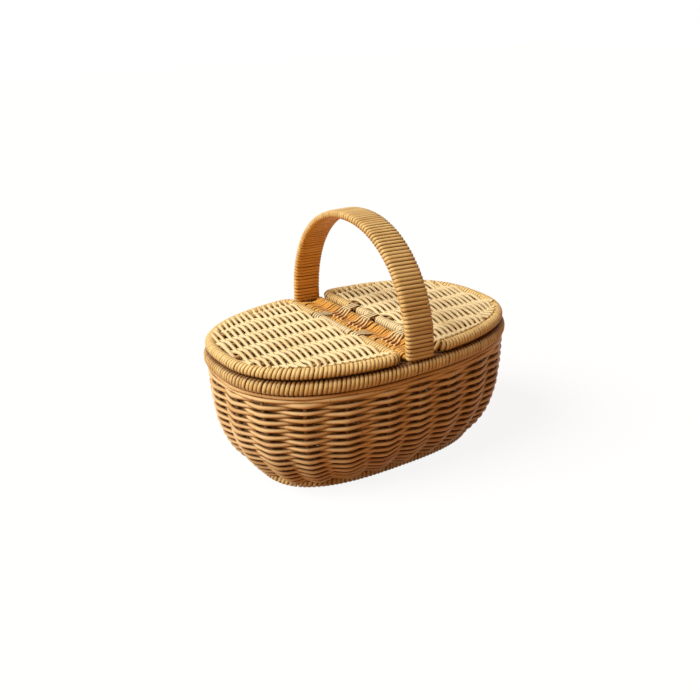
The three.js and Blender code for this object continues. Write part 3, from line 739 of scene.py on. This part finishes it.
def wall_strands(sizes):
    """Courses of round cane woven over and under the stakes, neighbours at opposite stakes. The
    last ones under the rim stay outside all the stakes and close the wall."""
    level, pitch = course_levels(sizes)
    number = WALL_STEPS * sizes.stakes
    at = np.arange(number) / number
    middle = wall_middle(sizes, at, level)
    round_wall = unit(np.roll(middle, -1, axis=1) - np.roll(middle, 1, axis=1))
    up_wall = unit(np.gradient(middle, axis=0))
    out = unit(np.cross(round_wall, up_wall))
    course = np.arange(sizes.courses)[:, None]
    wave = ripple(sizes.stakes * (at - stake_stray(at, level[:, None])) + course)
    top = course >= sizes.courses - sizes.top_courses
    below = course == sizes.courses - sizes.top_courses - 1
    wave = np.where(below, np.maximum(wave, -BELOW_DIP), wave)
    wave = np.where(top, TOP_OUT + TOP_SWAY * wave, wave)
    own = np.array([drift(at, 40 + k, fastest=9) for k in range(sizes.courses)])
    lift = (sizes.stake + sizes.weaver) / 2 * wave * (1 + LIFT_STRAY * own)
    rise = SHARED_SAG * drift(at, 7, fastest=5) + OWN_SAG * own
    path = middle + lift[..., None] * out + rise[..., None] * up_wall
    tone = np.array([drift(at, 90 + k, fastest=12) for k in range(sizes.courses)])
    tone = tones(5, WALL_TONES, sizes.courses) + WALL_TONE_DRIFT * tone
    flat = np.where(wave > 0, sizes.spread_out * wave ** 2, -sizes.spread_in * wave)
    half_side = pitch / 2 * (1 + flat) * np.where(below, BELOW_WIDER, 1) * (1 + WIDTH_STRAY * own)
    half_out = sizes.weaver / 2 * (1 + THICKNESS_STRAY * own)
    return strands(path, out, half_side, half_out, closed=True, tone=tone, side_of=wave)


def stake_strands(sizes):
    """Paths of the stakes from the foot's hoop up the wall's middle surface and into the rim,
    and the direction out of the wall."""
    foot_a, foot_b, foot_z = foot_sizes(sizes)
    level = np.linspace(0, 1, 22)
    start = np.arange(sizes.stakes) / sizes.stakes
    at = start + stake_stray(start, level[:, None])
    wall = wall_middle(sizes, at, level).transpose(1, 0, 2)
    foot = even_run(oval(foot_a, foot_b, sizes.foot_square, sizes.foot_square, foot_z), start)[0]
    low = wall[:, 0] + (foot - wall[:, 0]) * STAKE_FOOT
    top = wall[:, -1].copy()
    top[:, 2] = RIM_HIGH.z - STAKE_TOP
    top[[0, sizes.stakes // 2], 2] -= STAKE_CUT
    halfway = (wall[:, -1] + top) / 2
    path = np.concatenate([low[:, None], wall, halfway[:, None], top[:, None]], axis=1)
    along = unit(np.roll(wall[:, :1], -1, axis=0) - np.roll(wall[:, :1], 1, axis=0))
    away = unit(np.cross(along, unit(np.gradient(path, axis=1))))
    return path, away


def stick(path, away, half, tone, sides=8, closed=False):
    """A plain round cane."""
    return strands(path, away, half, half, sides=sides, closed=closed, tone=tone, groove_shade=0.1,
                   inside_shade=0.35)


def winding(run, section, turns, steps, thickness, seed, hand=1, up=UP, lean=0.0, sides=6,
            closed=False, lowest=None, tone=0.55, shade_facing=None, inner_orange_shade=0.0):
    """Cane wound round a core, each turn against the next. Stain gathers where it faces the
    soiled direction, and warm_in deepens the varnish where the section's x axis points."""
    path, away, facing, turn = wound(run, section, turns, steps, hand, up, lean, seed, closed)
    if lowest is not None:
        path[:, 2] = np.maximum(path[:, 2], lowest)
    shade = tone + TONE_STRAY * uneven(turn, seed + 1)
    shade = shade + TONE_DRIFT * drift(turn / turns, seed + 2, fastest=11)
    width = WOUND_COVER + WOUND_WIDTH_STRAY * uneven(turn, seed + 3)
    # Painted shade on the faces of the turns that look the given way
    face_shade = 0.0
    if shade_facing is not None:
        face_shade = FACE_SHADE_DEPTH * ramp(away @ np.array(shade_facing), FACE_SHADE_FROM, FACE_SHADE_FULL)
    return strands(path, away, run_length(run) / turns / 2 * width, thickness / 2, sides=sides,
                   closed=closed, tone=shade, groove_shade=0.6, inside_shade=0.2, face_shade=face_shade,
                   orange_shade=inner_orange_shade * ramp(facing, INSIDE_FROM, INSIDE_FULL))


# Lids

def lid_edge(sizes, body):
    """Half length, half width and squareness of the oval that a lid's hoop follows, measured
    from the middle of the basket."""
    half = sizes.hoop / 2
    return LID_HIGH.x - half, LID_HIGH.y - half, body.rim_square_x, body.rim_square_y


def lid_run(sizes, body, side, first=0.0, last=0.0):
    """A lid's centre line from the back of its straight rail round a corner, the curved edge and
    the other corner. First and last are where on the rail it begins and ends."""
    a, b, square_x, square_y = lid_edge(sizes, body)
    start = math.acos(((HINGE_X + sizes.corner) / a) ** (square_x / 2))
    edge = oval(a, b, square_x, square_y, HINGE_Z, start, -2 * start, 1601)
    y = float(half_chord(a, b, square_x, square_y, HINGE_X))
    t = np.linspace(0, 1, 33)[:-1, None]

    def bend(end, far):
        near = np.array([HINGE_X, end * (y - sizes.corner), HINGE_Z])
        tip = np.array([HINGE_X, end * y, HINGE_Z])
        return (1 - t) ** 2 * near + 2 * t * (1 - t) * tip + t ** 2 * far
    run = np.concatenate([[[HINGE_X, first, HINGE_Z]], bend(1, edge[0]), edge,
                          bend(-1, edge[-1])[::-1], [[HINGE_X, last, HINGE_Z]]])
    run[:, 0] *= side
    return run


def lid_crown(sizes, body, x, y):
    """Rise of a lid's panel over its hinge's height: a low dome, nothing at the edge. It is the
    crown times (1 - share^2)^power along the lid and across it."""
    a, b, square_x, square_y = lid_edge(sizes, body)
    middle = (HINGE_X + a) / 2
    wide = half_chord(a, b, square_x, square_y, x) + 1e-6
    along = np.clip(1 - ((x - middle) / (a - middle)) ** 2, 0, 1)
    across = np.clip(1 - (y / wide) ** 2, 0, 1)
    return sizes.crown * along ** CROWN_POWER * across ** CROWN_POWER


def rib_places(number, pitch):
    """Places of ribs at even steps about the middle."""
    return (np.arange(number) - (number - 1) / 2) * pitch


def weave_phase(ribs, y, reach):
    """Phase of the weave along one strand: a whole number at each rib and at both ends, where
    the strand meets the lid's hoop, and straight lines between. A rib near an end doesn't count."""
    index = np.flatnonzero(np.abs(ribs) < reach - NO_RIB)
    knots = np.concatenate([[-reach], ribs[index], [reach]])
    return np.interp(y, knots, np.concatenate([[index[0] - 1], index, [index[-1] + 1]]))


def lid_weave(sizes, body, side):
    """Canes woven across a lid's ribs, neighbours on opposite sides. At the hoop they stand
    higher and go in between the turns of its winding."""
    a, b, square_x, square_y = lid_edge(sizes, body)
    first = HINGE_X + sizes.rail / 2 + sizes.weaver / 2
    last = a - sizes.rim / 2 - sizes.end_gap - sizes.weaver / 2
    number = sizes.weavers
    x = np.linspace(first, last, number)
    s = np.linspace(-1, 1, 93)
    reach_y = half_chord(a, b, square_x, square_y, x)[:, None] - WEAVER_END
    y = s * reach_y
    row = np.arange(number)
    own = np.array([drift(s / 2, 300 + k + 50 * side, fastest=5) for k in row])
    stray = RIB_STRAY * drift(x * 6, 21 + side, fastest=3)[:, None] * (1 - s ** 4)
    ribs = rib_places(sizes.ribs, sizes.rib_pitch) + sizes.rib_shift
    phase = np.array([weave_phase(ribs, y[k] + stray[k], reach_y[k, 0]) for k in row])
    wave = ripple(phase + row[:, None] + 1)
    tuck = 1 - ramp((1 - np.abs(s)) * reach_y, 0, TUCK_FROM)
    lift = (sizes.rib + sizes.weaver) / 2 * wave * (1 + TUCK_LIFT * tuck)
    z = HINGE_Z + lid_crown(sizes, body, x[:, None], y) + lift + LID_SAG * own
    path = points(side * (x[:, None] + LID_SHIFT * own), y, z)
    tone = tones(61 + side, LID_TONES, number) + LID_TONE_DRIFT * own
    thick = np.where(row == number - 1, LAST_WEAVER, 1.0)[:, None]
    wide = (x[1] - x[0]) / 2 * (sizes.cover + sizes.spread * wave ** 2 * (1 - tuck)) * thick
    high = sizes.weaver / 2 * (1 + THICKNESS_STRAY * own) * thick
    return strands(path, UP, wide, high, tone=tone, side_of=wave, groove_shade=0.2, inside_shade=0.2)


def lid_frame(sizes, body, side):
    """A lid's hoop and the ribs across it, which follow the panel's crown."""
    hoop = even_run(lid_run(sizes, body, side), np.arange(150) / 150)[0]
    a, b, square_x, square_y = lid_edge(sizes, body)
    y = rib_places(sizes.ribs, sizes.rib_pitch)[:, None] + sizes.rib_shift
    far = half_chord(b, a, square_y, square_x, y)
    x = HINGE_X + np.linspace(0, 1, 25) * (far - HINGE_X)
    ribs = points(side * x, y, HINGE_Z + lid_crown(sizes, body, x, y))
    return [stick(hoop, UP, sizes.hoop / 2, 0.6, closed=True),
            stick(ribs, UP, sizes.rib / 2, 0.55)]


def rail_winding(sizes, side, first, last, seed):
    """Fine cane wound round a stretch of a lid's straight rail."""
    rail = points(side * HINGE_X, np.linspace(first, last, 9), HINGE_Z)
    half = (sizes.rail - sizes.fine_cane) / 2
    turns = round(abs(last - first) / sizes.rail_pitch)
    return winding(rail, rounded(half, half, 2), turns, 12, sizes.fine_cane, seed, hand=-side,
                   tone=0.85)


# Bridge and hinge loops

def bridge_rail():
    """Distance of the bridge's rails from the middle, their height and their radius."""
    middle = (RAIL_LOW + RAIL_HIGH) / 2
    return middle.x, middle.z, (RAIL_HIGH.z - RAIL_LOW.z) / 2


def bridge_height(sizes, x):
    """Height of the bridge canes' centre line over the rails' middle: a rail's radius and half a
    cane at the rails, and by an S-curve down to the waist between them."""
    rail_x, _, rail = bridge_rail()
    outer = rail + sizes.bridge_weaver / 2
    return sizes.bridge_waist + (outer - sizes.bridge_waist) * ramp(np.abs(x), 0, rail_x)


def bridge_strands(sizes):
    """One cane wound round both rails. Every turn slants across the bridge: its place along the
    bridge moves on by the slant times x, less near the ends. It is warmest in the dip."""
    rail_x, rail_z, rail = bridge_rail()
    outer = rail + sizes.bridge_weaver / 2
    across = np.linspace(rail_x, -rail_x, 60)
    arc = np.linspace(math.pi / 2, 1.5 * math.pi, 40)[1:-1]
    height = bridge_height(sizes, across)
    bend_x, bend_z = -rail_x + outer * np.cos(arc), outer * np.sin(arc)
    x = np.concatenate([across, bend_x, -across, -bend_x, [rail_x]])
    z = np.concatenate([height, bend_z, -height, -bend_z, [outer]])
    steps = 44
    turn = np.arange(sizes.bridge_turns * steps + 1) / steps
    x, z, away_x, away_z = outline(x, z)(turn)
    along = 2 * turn / sizes.bridge_turns - 1
    reach = BRIDGE_HIGH.y - sizes.bridge_weaver
    pitch = 2 * reach / sizes.bridge_turns
    y = reach * along + sizes.bridge_slant * x * (1 - along ** 8)
    y = y + BRIDGE_PITCH_STRAY * pitch * uneven(3 * turn, 9)
    return strands(points(x, y, rail_z + z), points(away_x, 0, away_z),
                   sizes.bridge_cover * pitch / 2, sizes.bridge_weaver / 2,
                   tone=BRIDGE_TONE + BRIDGE_TONE_STRAY * uneven(turn, 8), groove_shade=0.55,
                   inside_shade=0.5, orange_shade=BRIDGE_ORANGE_SHADE * (1 - ramp(np.abs(x), 0, rail_x)))


def belt(sizes, far_x, far_r, side):
    """Outline of a belt round the lid's rail and round a circle on the bridge, seen along Y: two
    arcs and the straight lines that touch both."""
    near = np.array([HINGE_X, HINGE_Z])
    far = np.array([far_x, bridge_rail()[1]])
    near_r = sizes.hoop / 2 + SEAT + sizes.bridge_weaver * LOOP_SEAT
    gap = near - far
    towards = math.atan2(gap[1], gap[0])
    lean = math.acos((far_r - near_r) / np.linalg.norm(gap))
    a = np.linspace(towards - lean, towards + lean, 40)
    b = np.linspace(towards + lean, towards - lean + TURN, 60)
    x = np.concatenate([near[0] + near_r * np.cos(a), far[0] + far_r * np.cos(b)])
    z = np.concatenate([near[1] + near_r * np.sin(a), far[1] + far_r * np.sin(b)])
    return np.append(x, x[0]) * side, np.append(z, z[0])


def hinge_loop(sizes, side, low, high, seed):
    """Turns of cane that tie a lid's rail to the bridge: the belt's outline turns round while it
    moves along Y."""
    rail_x, _, rail = bridge_rail()
    half_away = sizes.bridge_weaver * LOOP_HALF
    section = outline(*belt(sizes, rail_x, rail + sizes.bridge_weaver + half_away, side))
    steps = 34
    turn = np.arange(sizes.loop_turns * steps + 1) / steps
    x, z, normal_x, normal_z = section(side * turn + LOOP_START)
    half = (high - low) / 2 - sizes.bridge_weaver / 2
    y = (low + high) / 2 + (2 * turn / sizes.loop_turns - 1) * half
    return strands(points(x, y, z), side * points(normal_x, 0, normal_z),
                   LOOP_COVER * half / sizes.loop_turns, half_away,
                   tone=LOOP_TONE + LOOP_TONE_STRAY * uneven(turn, seed), groove_shade=0.8, inside_shade=0.3)


def loop_fan(sizes, low, high, seed):
    """Where the turns of a loop on the right run on over the bridge: they leave the right rail,
    fan out while they slant to the front, and are tucked in between the canes at the left rail."""
    rail_x, rail_z, _ = bridge_rail()
    along = np.linspace(0, 1, 26)
    canes = sizes.loop_turns + 1
    start = np.linspace(-0.5, 0.5, canes)[:, None] * (high - low - sizes.bridge_weaver)
    x = rail_x * (FAN_START + (FAN_END - FAN_START) * along)
    y = (low + high) / 2 + start * (1 + sizes.fan_spread * along) - sizes.fan_slant * (rail_x - x)
    half = sizes.bridge_weaver * LOOP_HALF
    tuck = ramp(along, FAN_TUCK, 1) * (sizes.bridge_weaver + half)
    z = rail_z + bridge_height(sizes, x) + sizes.bridge_weaver / 2 + half - tuck
    # Painted orange shade, growing from the right rail to the left one
    return strands(points(x, y, z), UP, half * FAN_FLAT, half, tone=tones(seed, FAN_TONES, canes),
                   groove_shade=0.35, inside_shade=0.3, orange_shade=FAN_ORANGE_SHADE + FAN_ORANGE_SHADE_RISE * along)


# Steps

def make_foot(scene):
    """Foot ring, the floor's sticks and the woven floor."""
    sizes = scene.body_sizes
    square = sizes.foot_square
    a, b, z = foot_sizes(sizes)
    run = oval(a, b, square, square, z)
    half = (sizes.foot_thickness - sizes.wound_cane) / 2
    wrap = winding(run, rounded(half, half, 2), sizes.foot_turns, 14, sizes.wound_cane, 11,
                   lean=0.0003, closed=True, lowest=sizes.wound_cane / 2)
    piece("foot_winding", [wrap], "wound", "basket", "foot_wrap")

    floor_z = sum(corner.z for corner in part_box("base_weave")) / 2
    y = rib_places(sizes.floor_ribs, sizes.floor_rib_pitch)[:, None]
    x = np.linspace(-1, 1, 30) * half_chord(b, a, square, square, y)
    hoop = even_run(run, np.arange(120) / 120)[0]
    frame_parts = [stick(hoop, UP, half * FOOT_HOOP, 0.5, closed=True),
                   stick(points(x, y, floor_z), UP, sizes.floor_rib / 2, 0.5)]
    piece("foot_hoop_and_floor_sticks", frame_parts, "core", "basket", "base_frame")

    number = sizes.floor_weavers
    inside = (sizes.foot_thickness + sizes.floor_weaver) / 2
    x = np.linspace(inside - a, a - inside, number)
    reach = half_chord(a, b, square, square, x) - sizes.foot_thickness / 2 + FLOOR_TUCK
    y = np.linspace(-1, 1, 61) * reach[:, None]
    wave = ripple(y / sizes.floor_rib_pitch + np.arange(number)[:, None])
    z = floor_z + (sizes.floor_rib + sizes.floor_weaver) / 2 * wave
    half_side = (x[1] - x[0]) / 2 * (1 + sizes.floor_spread * np.abs(wave))
    weave = strands(points(x[:, None], y, z), UP, half_side, sizes.floor_weaver / 2, sides=6,
                    tone=tones(3, FLOOR_TONES, number), side_of=wave)
    piece("floor_weave", [weave], "honey", "basket", "base_weave")


def make_wall(scene):
    """Stakes and the courses woven round them."""
    sizes = scene.body_sizes
    piece("wall_courses", [wall_strands(sizes)], "honey", "basket", "wall_weave")
    for k, (path, away) in enumerate(zip(*stake_strands(sizes))):
        number = f"{k + 1:02d}"
        tone = STAKE_TONE + STAKE_TONE_STRAY * math.sin(k * STAKE_TONE_STEP)
        piece("upright_" + number, [stick(path, away, sizes.stake / 2, tone)], "core", "basket",
              "stake_" + number)


def make_rim(scene):
    """Winding of the body's rim, over the frame's own hoops."""
    sizes = scene.body_sizes
    half = sizes.rim_thickness / 2
    run = oval(RIM_HIGH.x - half, RIM_HIGH.y - half, sizes.rim_square_x, sizes.rim_square_y,
               (RIM_LOW.z + RIM_HIGH.z) / 2)
    inset = sizes.wound_cane / 2
    section = rounded(half - inset, (RIM_HIGH.z - RIM_LOW.z) / 2 - inset, RIM_SQUARE)
    # A low tone: the same cane as the lids' edges, painted darker as the shade on the rim's side
    # Painted shade on the tops of the turns, in the shade under the lids' edges
    wrap = winding(run, section, sizes.rim_turns, 18, sizes.wound_cane, 31, lean=0.0006,
                   sides=8, closed=True, tone=0.35, shade_facing=UP)
    piece("rim_winding", [wrap], "wound", "basket", "rim_wrap")
    dress("rim_hoop_outer", "rim_hoop_inner")


def make_handle(scene):
    """Winding of the strap handle, over the frame's own rods."""
    sizes = scene.body_sizes
    leg = RIM_HIGH.y - sizes.rim_thickness / 2
    half_thick = STRAP_HIGH.y - leg
    half_wide = (STRAP_HIGH.x - STRAP_LOW.x) / 2
    rise = STRAP_HIGH.z - half_thick - sizes.handle_spring
    y, z = rounded_curve(np.linspace(math.pi, 0, 1201), leg, rise, sizes.handle_square,
                         sizes.handle_square)
    end = STRAP_LOW.z + STRAP_END
    run = np.concatenate([[[0, -leg, end]], points(0, y, sizes.handle_spring + z), [[0, leg, end]]])
    inset = sizes.wound_cane / 2
    section = rounded(half_thick - inset, half_wide - inset, STRAP_SQUARE)
    # A low tone: the same cane as the lids' edges, painted darker as the shade on the strap
    # Painted orange shade on the strap's inner face
    wrap = winding(run, section, sizes.handle_turns, 28, sizes.wound_cane, 51, up=ALONG_X,
                   sides=8, tone=0.3, inner_orange_shade=0.75)
    piece("handle_winding", [wrap], "wound", "basket", "handle_wrap")
    dress(*sorted(name for name in frame["nodes"] if name.startswith("handle_rod")))


def make_bridge(scene):
    """Bridge rails, and the cane wound across them."""
    rail_x, rail_z, rail = bridge_rail()
    y = np.linspace(RAIL_LOW.y, RAIL_HIGH.y, 40)
    rails = stick(points([[-rail_x], [rail_x]], y, rail_z), UP, rail, 0.5, sides=12)
    piece("bridge_rails", [rails], "bridge", "basket", "bridge_rail_left", "bridge_rail_right")
    piece("bridge_canes", [bridge_strands(scene.lid_sizes)], "bridge", "basket", "bridge_weave")


def make_loops(scene):
    """Cane loops that tie each lid's rail to the bridge."""
    sizes = scene.lid_sizes
    for name, side in (("left", -1), ("right", 1)):
        for k, node in enumerate(LOOPS[name]):
            low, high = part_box(node)
            seed = 70 + 5 * k + side
            loop = [hinge_loop(sizes, side, low.y, high.y, seed)]
            if side > 0:
                loop.append(loop_fan(sizes, low.y, high.y, seed))
            piece(f"tie_{name}_{k + 1}", loop, "pale", "basket", node)


def make_lids(scene):
    """Both lids: frames, woven panels and the windings of their edges and rails."""
    sizes, body = scene.lid_sizes, scene.body_sizes
    clear = SEAT + sizes.bridge_weaver / 4
    half = (sizes.rim - body.wound_cane) / 2
    for name, side in (("left", -1), ("right", 1)):
        lid = name + "_lid"
        piece(lid + "_hoop_and_ribs", lid_frame(sizes, body, side), "core", lid, lid + "_frame")
        piece(lid + "_panel", [lid_weave(sizes, body, side)], "pale", lid, lid + "_weave")
        places = sorted((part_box(node)[0].y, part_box(node)[1].y) for node in LOOPS[name])
        run = lid_run(sizes, body, side, places[-1][1] + clear, places[0][0] - clear)
        # Painted shade on the undersides of the turns, in the shade over the body's rim
        edge = winding(run[1:-1], rounded(half, half, 2), sizes.rim_turns, 16,
                       body.wound_cane, 80 + side, hand=-side, lean=0.0005, sides=8,
                       tone=0.7, shade_facing=-UP)
        ends = [rail_winding(sizes, side, run[k, 1], run[k + 1, 1], 84 + k + side)
                for k in (0, len(run) - 2)]
        piece(lid + "_rim_winding", [edge] + ends, "wound", lid, lid + "_rim_wrap")
        for k in range(1, len(places)):
            low, high = places[k - 1][1] + clear, places[k][0] - clear
            wrap = rail_winding(sizes, side, high, low, 88 + k + side)
            piece(f"{lid}_rail_winding_{k}", [wrap], "pale", lid, f"{lid}_rail_wrap_{k}")


# Stage

def seen_ray(tree):
    """1 for what the camera, a reflection or clear glass sees, and 0 for light on the basket."""
    ray = add_node(tree, "ShaderNodeLightPath").outputs
    seen = calculate(tree, "MAXIMUM", ray["Is Camera Ray"], ray["Is Glossy Ray"])
    return calculate(tree, "MAXIMUM", seen, ray["Is Transmission Ray"])


def make_floor(stage):
    """A wide floor: white as seen, but for the basket's shadow, and warm as it lights it."""
    material = bpy.data.materials.new("pale_floor")
    tree = empty_tree(material)
    seen = seen_ray(tree)
    shown = mix(tree, seen, (*stage.floor, 1), (*stage.floor_seen, 1))
    matt = add_node(tree, "ShaderNodeBsdfDiffuse", {"Color": shown})
    white = add_node(tree, "ShaderNodeEmission", {"Strength": stage.floor_white})
    mixed = add_node(tree, "ShaderNodeMixShader", {
        0: calculate(tree, "MULTIPLY", seen, stage.white_share), 1: matt.outputs["BSDF"],
        2: white.outputs["Emission"]})
    add_node(tree, "ShaderNodeOutputMaterial", {"Surface": mixed.outputs["Shader"]})
    mesh = bpy.data.meshes.new("floor")
    corners = ((-1, -1), (1, -1), (1, 1), (-1, 1))
    mesh.from_pydata([(x * FLOOR_HALF, y * FLOOR_HALF, -FLOOR_DROP) for x, y in corners],
                     [], [(0, 1, 2, 3)])
    mesh.materials.append(material)
    floor = add_object("floor", mesh)


def make_room(stage):
    """Even light all round, white as seen."""
    room = bpy.data.worlds.new("room")
    tree = empty_tree(room)
    light = add_node(tree, "ShaderNodeBackground",
                     {"Color": (*stage.room_tint, 1), "Strength": stage.room})
    white = add_node(tree, "ShaderNodeBackground", {"Color": (1, 1, 1, 1), "Strength": 1.0})
    mixed = add_node(tree, "ShaderNodeMixShader", {
        0: seen_ray(tree), 1: light.outputs["Background"], 2: white.outputs["Background"]})
    add_node(tree, "ShaderNodeOutputWorld", {"Surface": mixed.outputs["Shader"]})
    bpy.context.scene.world = room


def make_lamp(stage):
    """The key lamp, a wide sun."""
    data = bpy.data.lights.new("key_lamp", "SUN")
    data.energy, data.angle, data.color = stage.key, stage.key_angle, stage.key_tint
    made = add_object("key_lamp", data)
    made.rotation_mode = "QUATERNION"
    made.rotation_quaternion = Vector(stage.key_from).to_track_quat("Z", "Y")


def make_camera(stage):
    """The camera: it stands back from its target by azimuth and elevation, and rolls."""
    a, e = stage.azimuth, stage.elevation
    back = Vector((math.sin(a) * math.cos(e), -math.cos(a) * math.cos(e), math.sin(e)))
    right = Vector((math.cos(a), math.sin(a), 0))
    up = back.cross(right)
    c, s = math.cos(stage.roll), math.sin(stage.roll)
    turn = Matrix((c * right + s * up, c * up - s * right, back)).transposed()
    data = bpy.data.cameras.new("camera")
    data.sensor_width, data.lens = 36, stage.lens
    camera = add_object("camera", data)
    place = Vector(stage.target) + back * stage.distance
    camera.matrix_world = Matrix.Translation(place) @ turn.to_4x4()
    bpy.context.scene.camera = camera


def make_stage(scene):
    """Floor, room light, lamp and camera."""
    for make in (make_floor, make_room, make_lamp, make_camera):
        make(scene.stage_settings)
    scene.view_settings.view_transform = "Standard"


# Operator, panel and settings

STEPS = {
    "FOOT": ("Foot and floor", make_foot),
    "WALL": ("Wall", make_wall),
    "RIM": ("Rim", make_rim),
    "HANDLE": ("Handle", make_handle),
    "BRIDGE": ("Bridge", make_bridge),
    "LOOPS": ("Hinge loops", make_loops),
    "LIDS": ("Lids", make_lids),
    "STAGE": ("Stage", make_stage),
}


class CANE_OT_make(bpy.types.Operator):
    """Makes one part of the basket or its stage"""

    bl_idname = "cane.make"
    bl_label = "Make"

    step: EnumProperty(items=[(key, label, make.__doc__) for key, (label, make) in STEPS.items()])

    def execute(self, context):
        STEPS[self.step][1](context.scene)
        return {"FINISHED"}


class CANE_PT_basket(bpy.types.Panel):
    """Lists the steps that make the basket"""

    bl_idname = "CANE_PT_basket"
    bl_label = "Cane Basket"
    bl_space_type = "VIEW_3D"
    bl_region_type = "UI"
    bl_category = "Cane Basket"

    def draw(self, context):
        for key, (label, _) in STEPS.items():
            self.layout.operator("cane.make", text=label).step = key


GROUPS = {
    "body_sizes": BodySizes,
    "lid_sizes": LidSizes,
    "cane_colours": CaneColours,
    "stage_settings": StageSettings,
}
CLASSES = (*GROUPS.values(), CANE_OT_make, CANE_PT_basket)


def register():
    """Makes the settings, each named after its key, the operator and the panel known."""
    for group in GROUPS.values():
        for key, setting in group.__annotations__.items():
            setting.keywords["name"] = key.replace("_", " ").capitalize()
    for made in CLASSES:
        bpy.utils.register_class(made)
    for name, group in GROUPS.items():
        setattr(bpy.types.Scene, name, PointerProperty(type=group))


def unregister():
    """Takes them away again."""
    for name in GROUPS:
        delattr(bpy.types.Scene, name)
    for made in reversed(CLASSES):
        bpy.utils.unregister_class(made)


def main():
    """Makes the whole basket and its stage, and writes both boxes to the size file."""
    register()
    for step in STEPS:
        bpy.ops.cane.make(step=step)


if __name__ == "__main__":
    main()
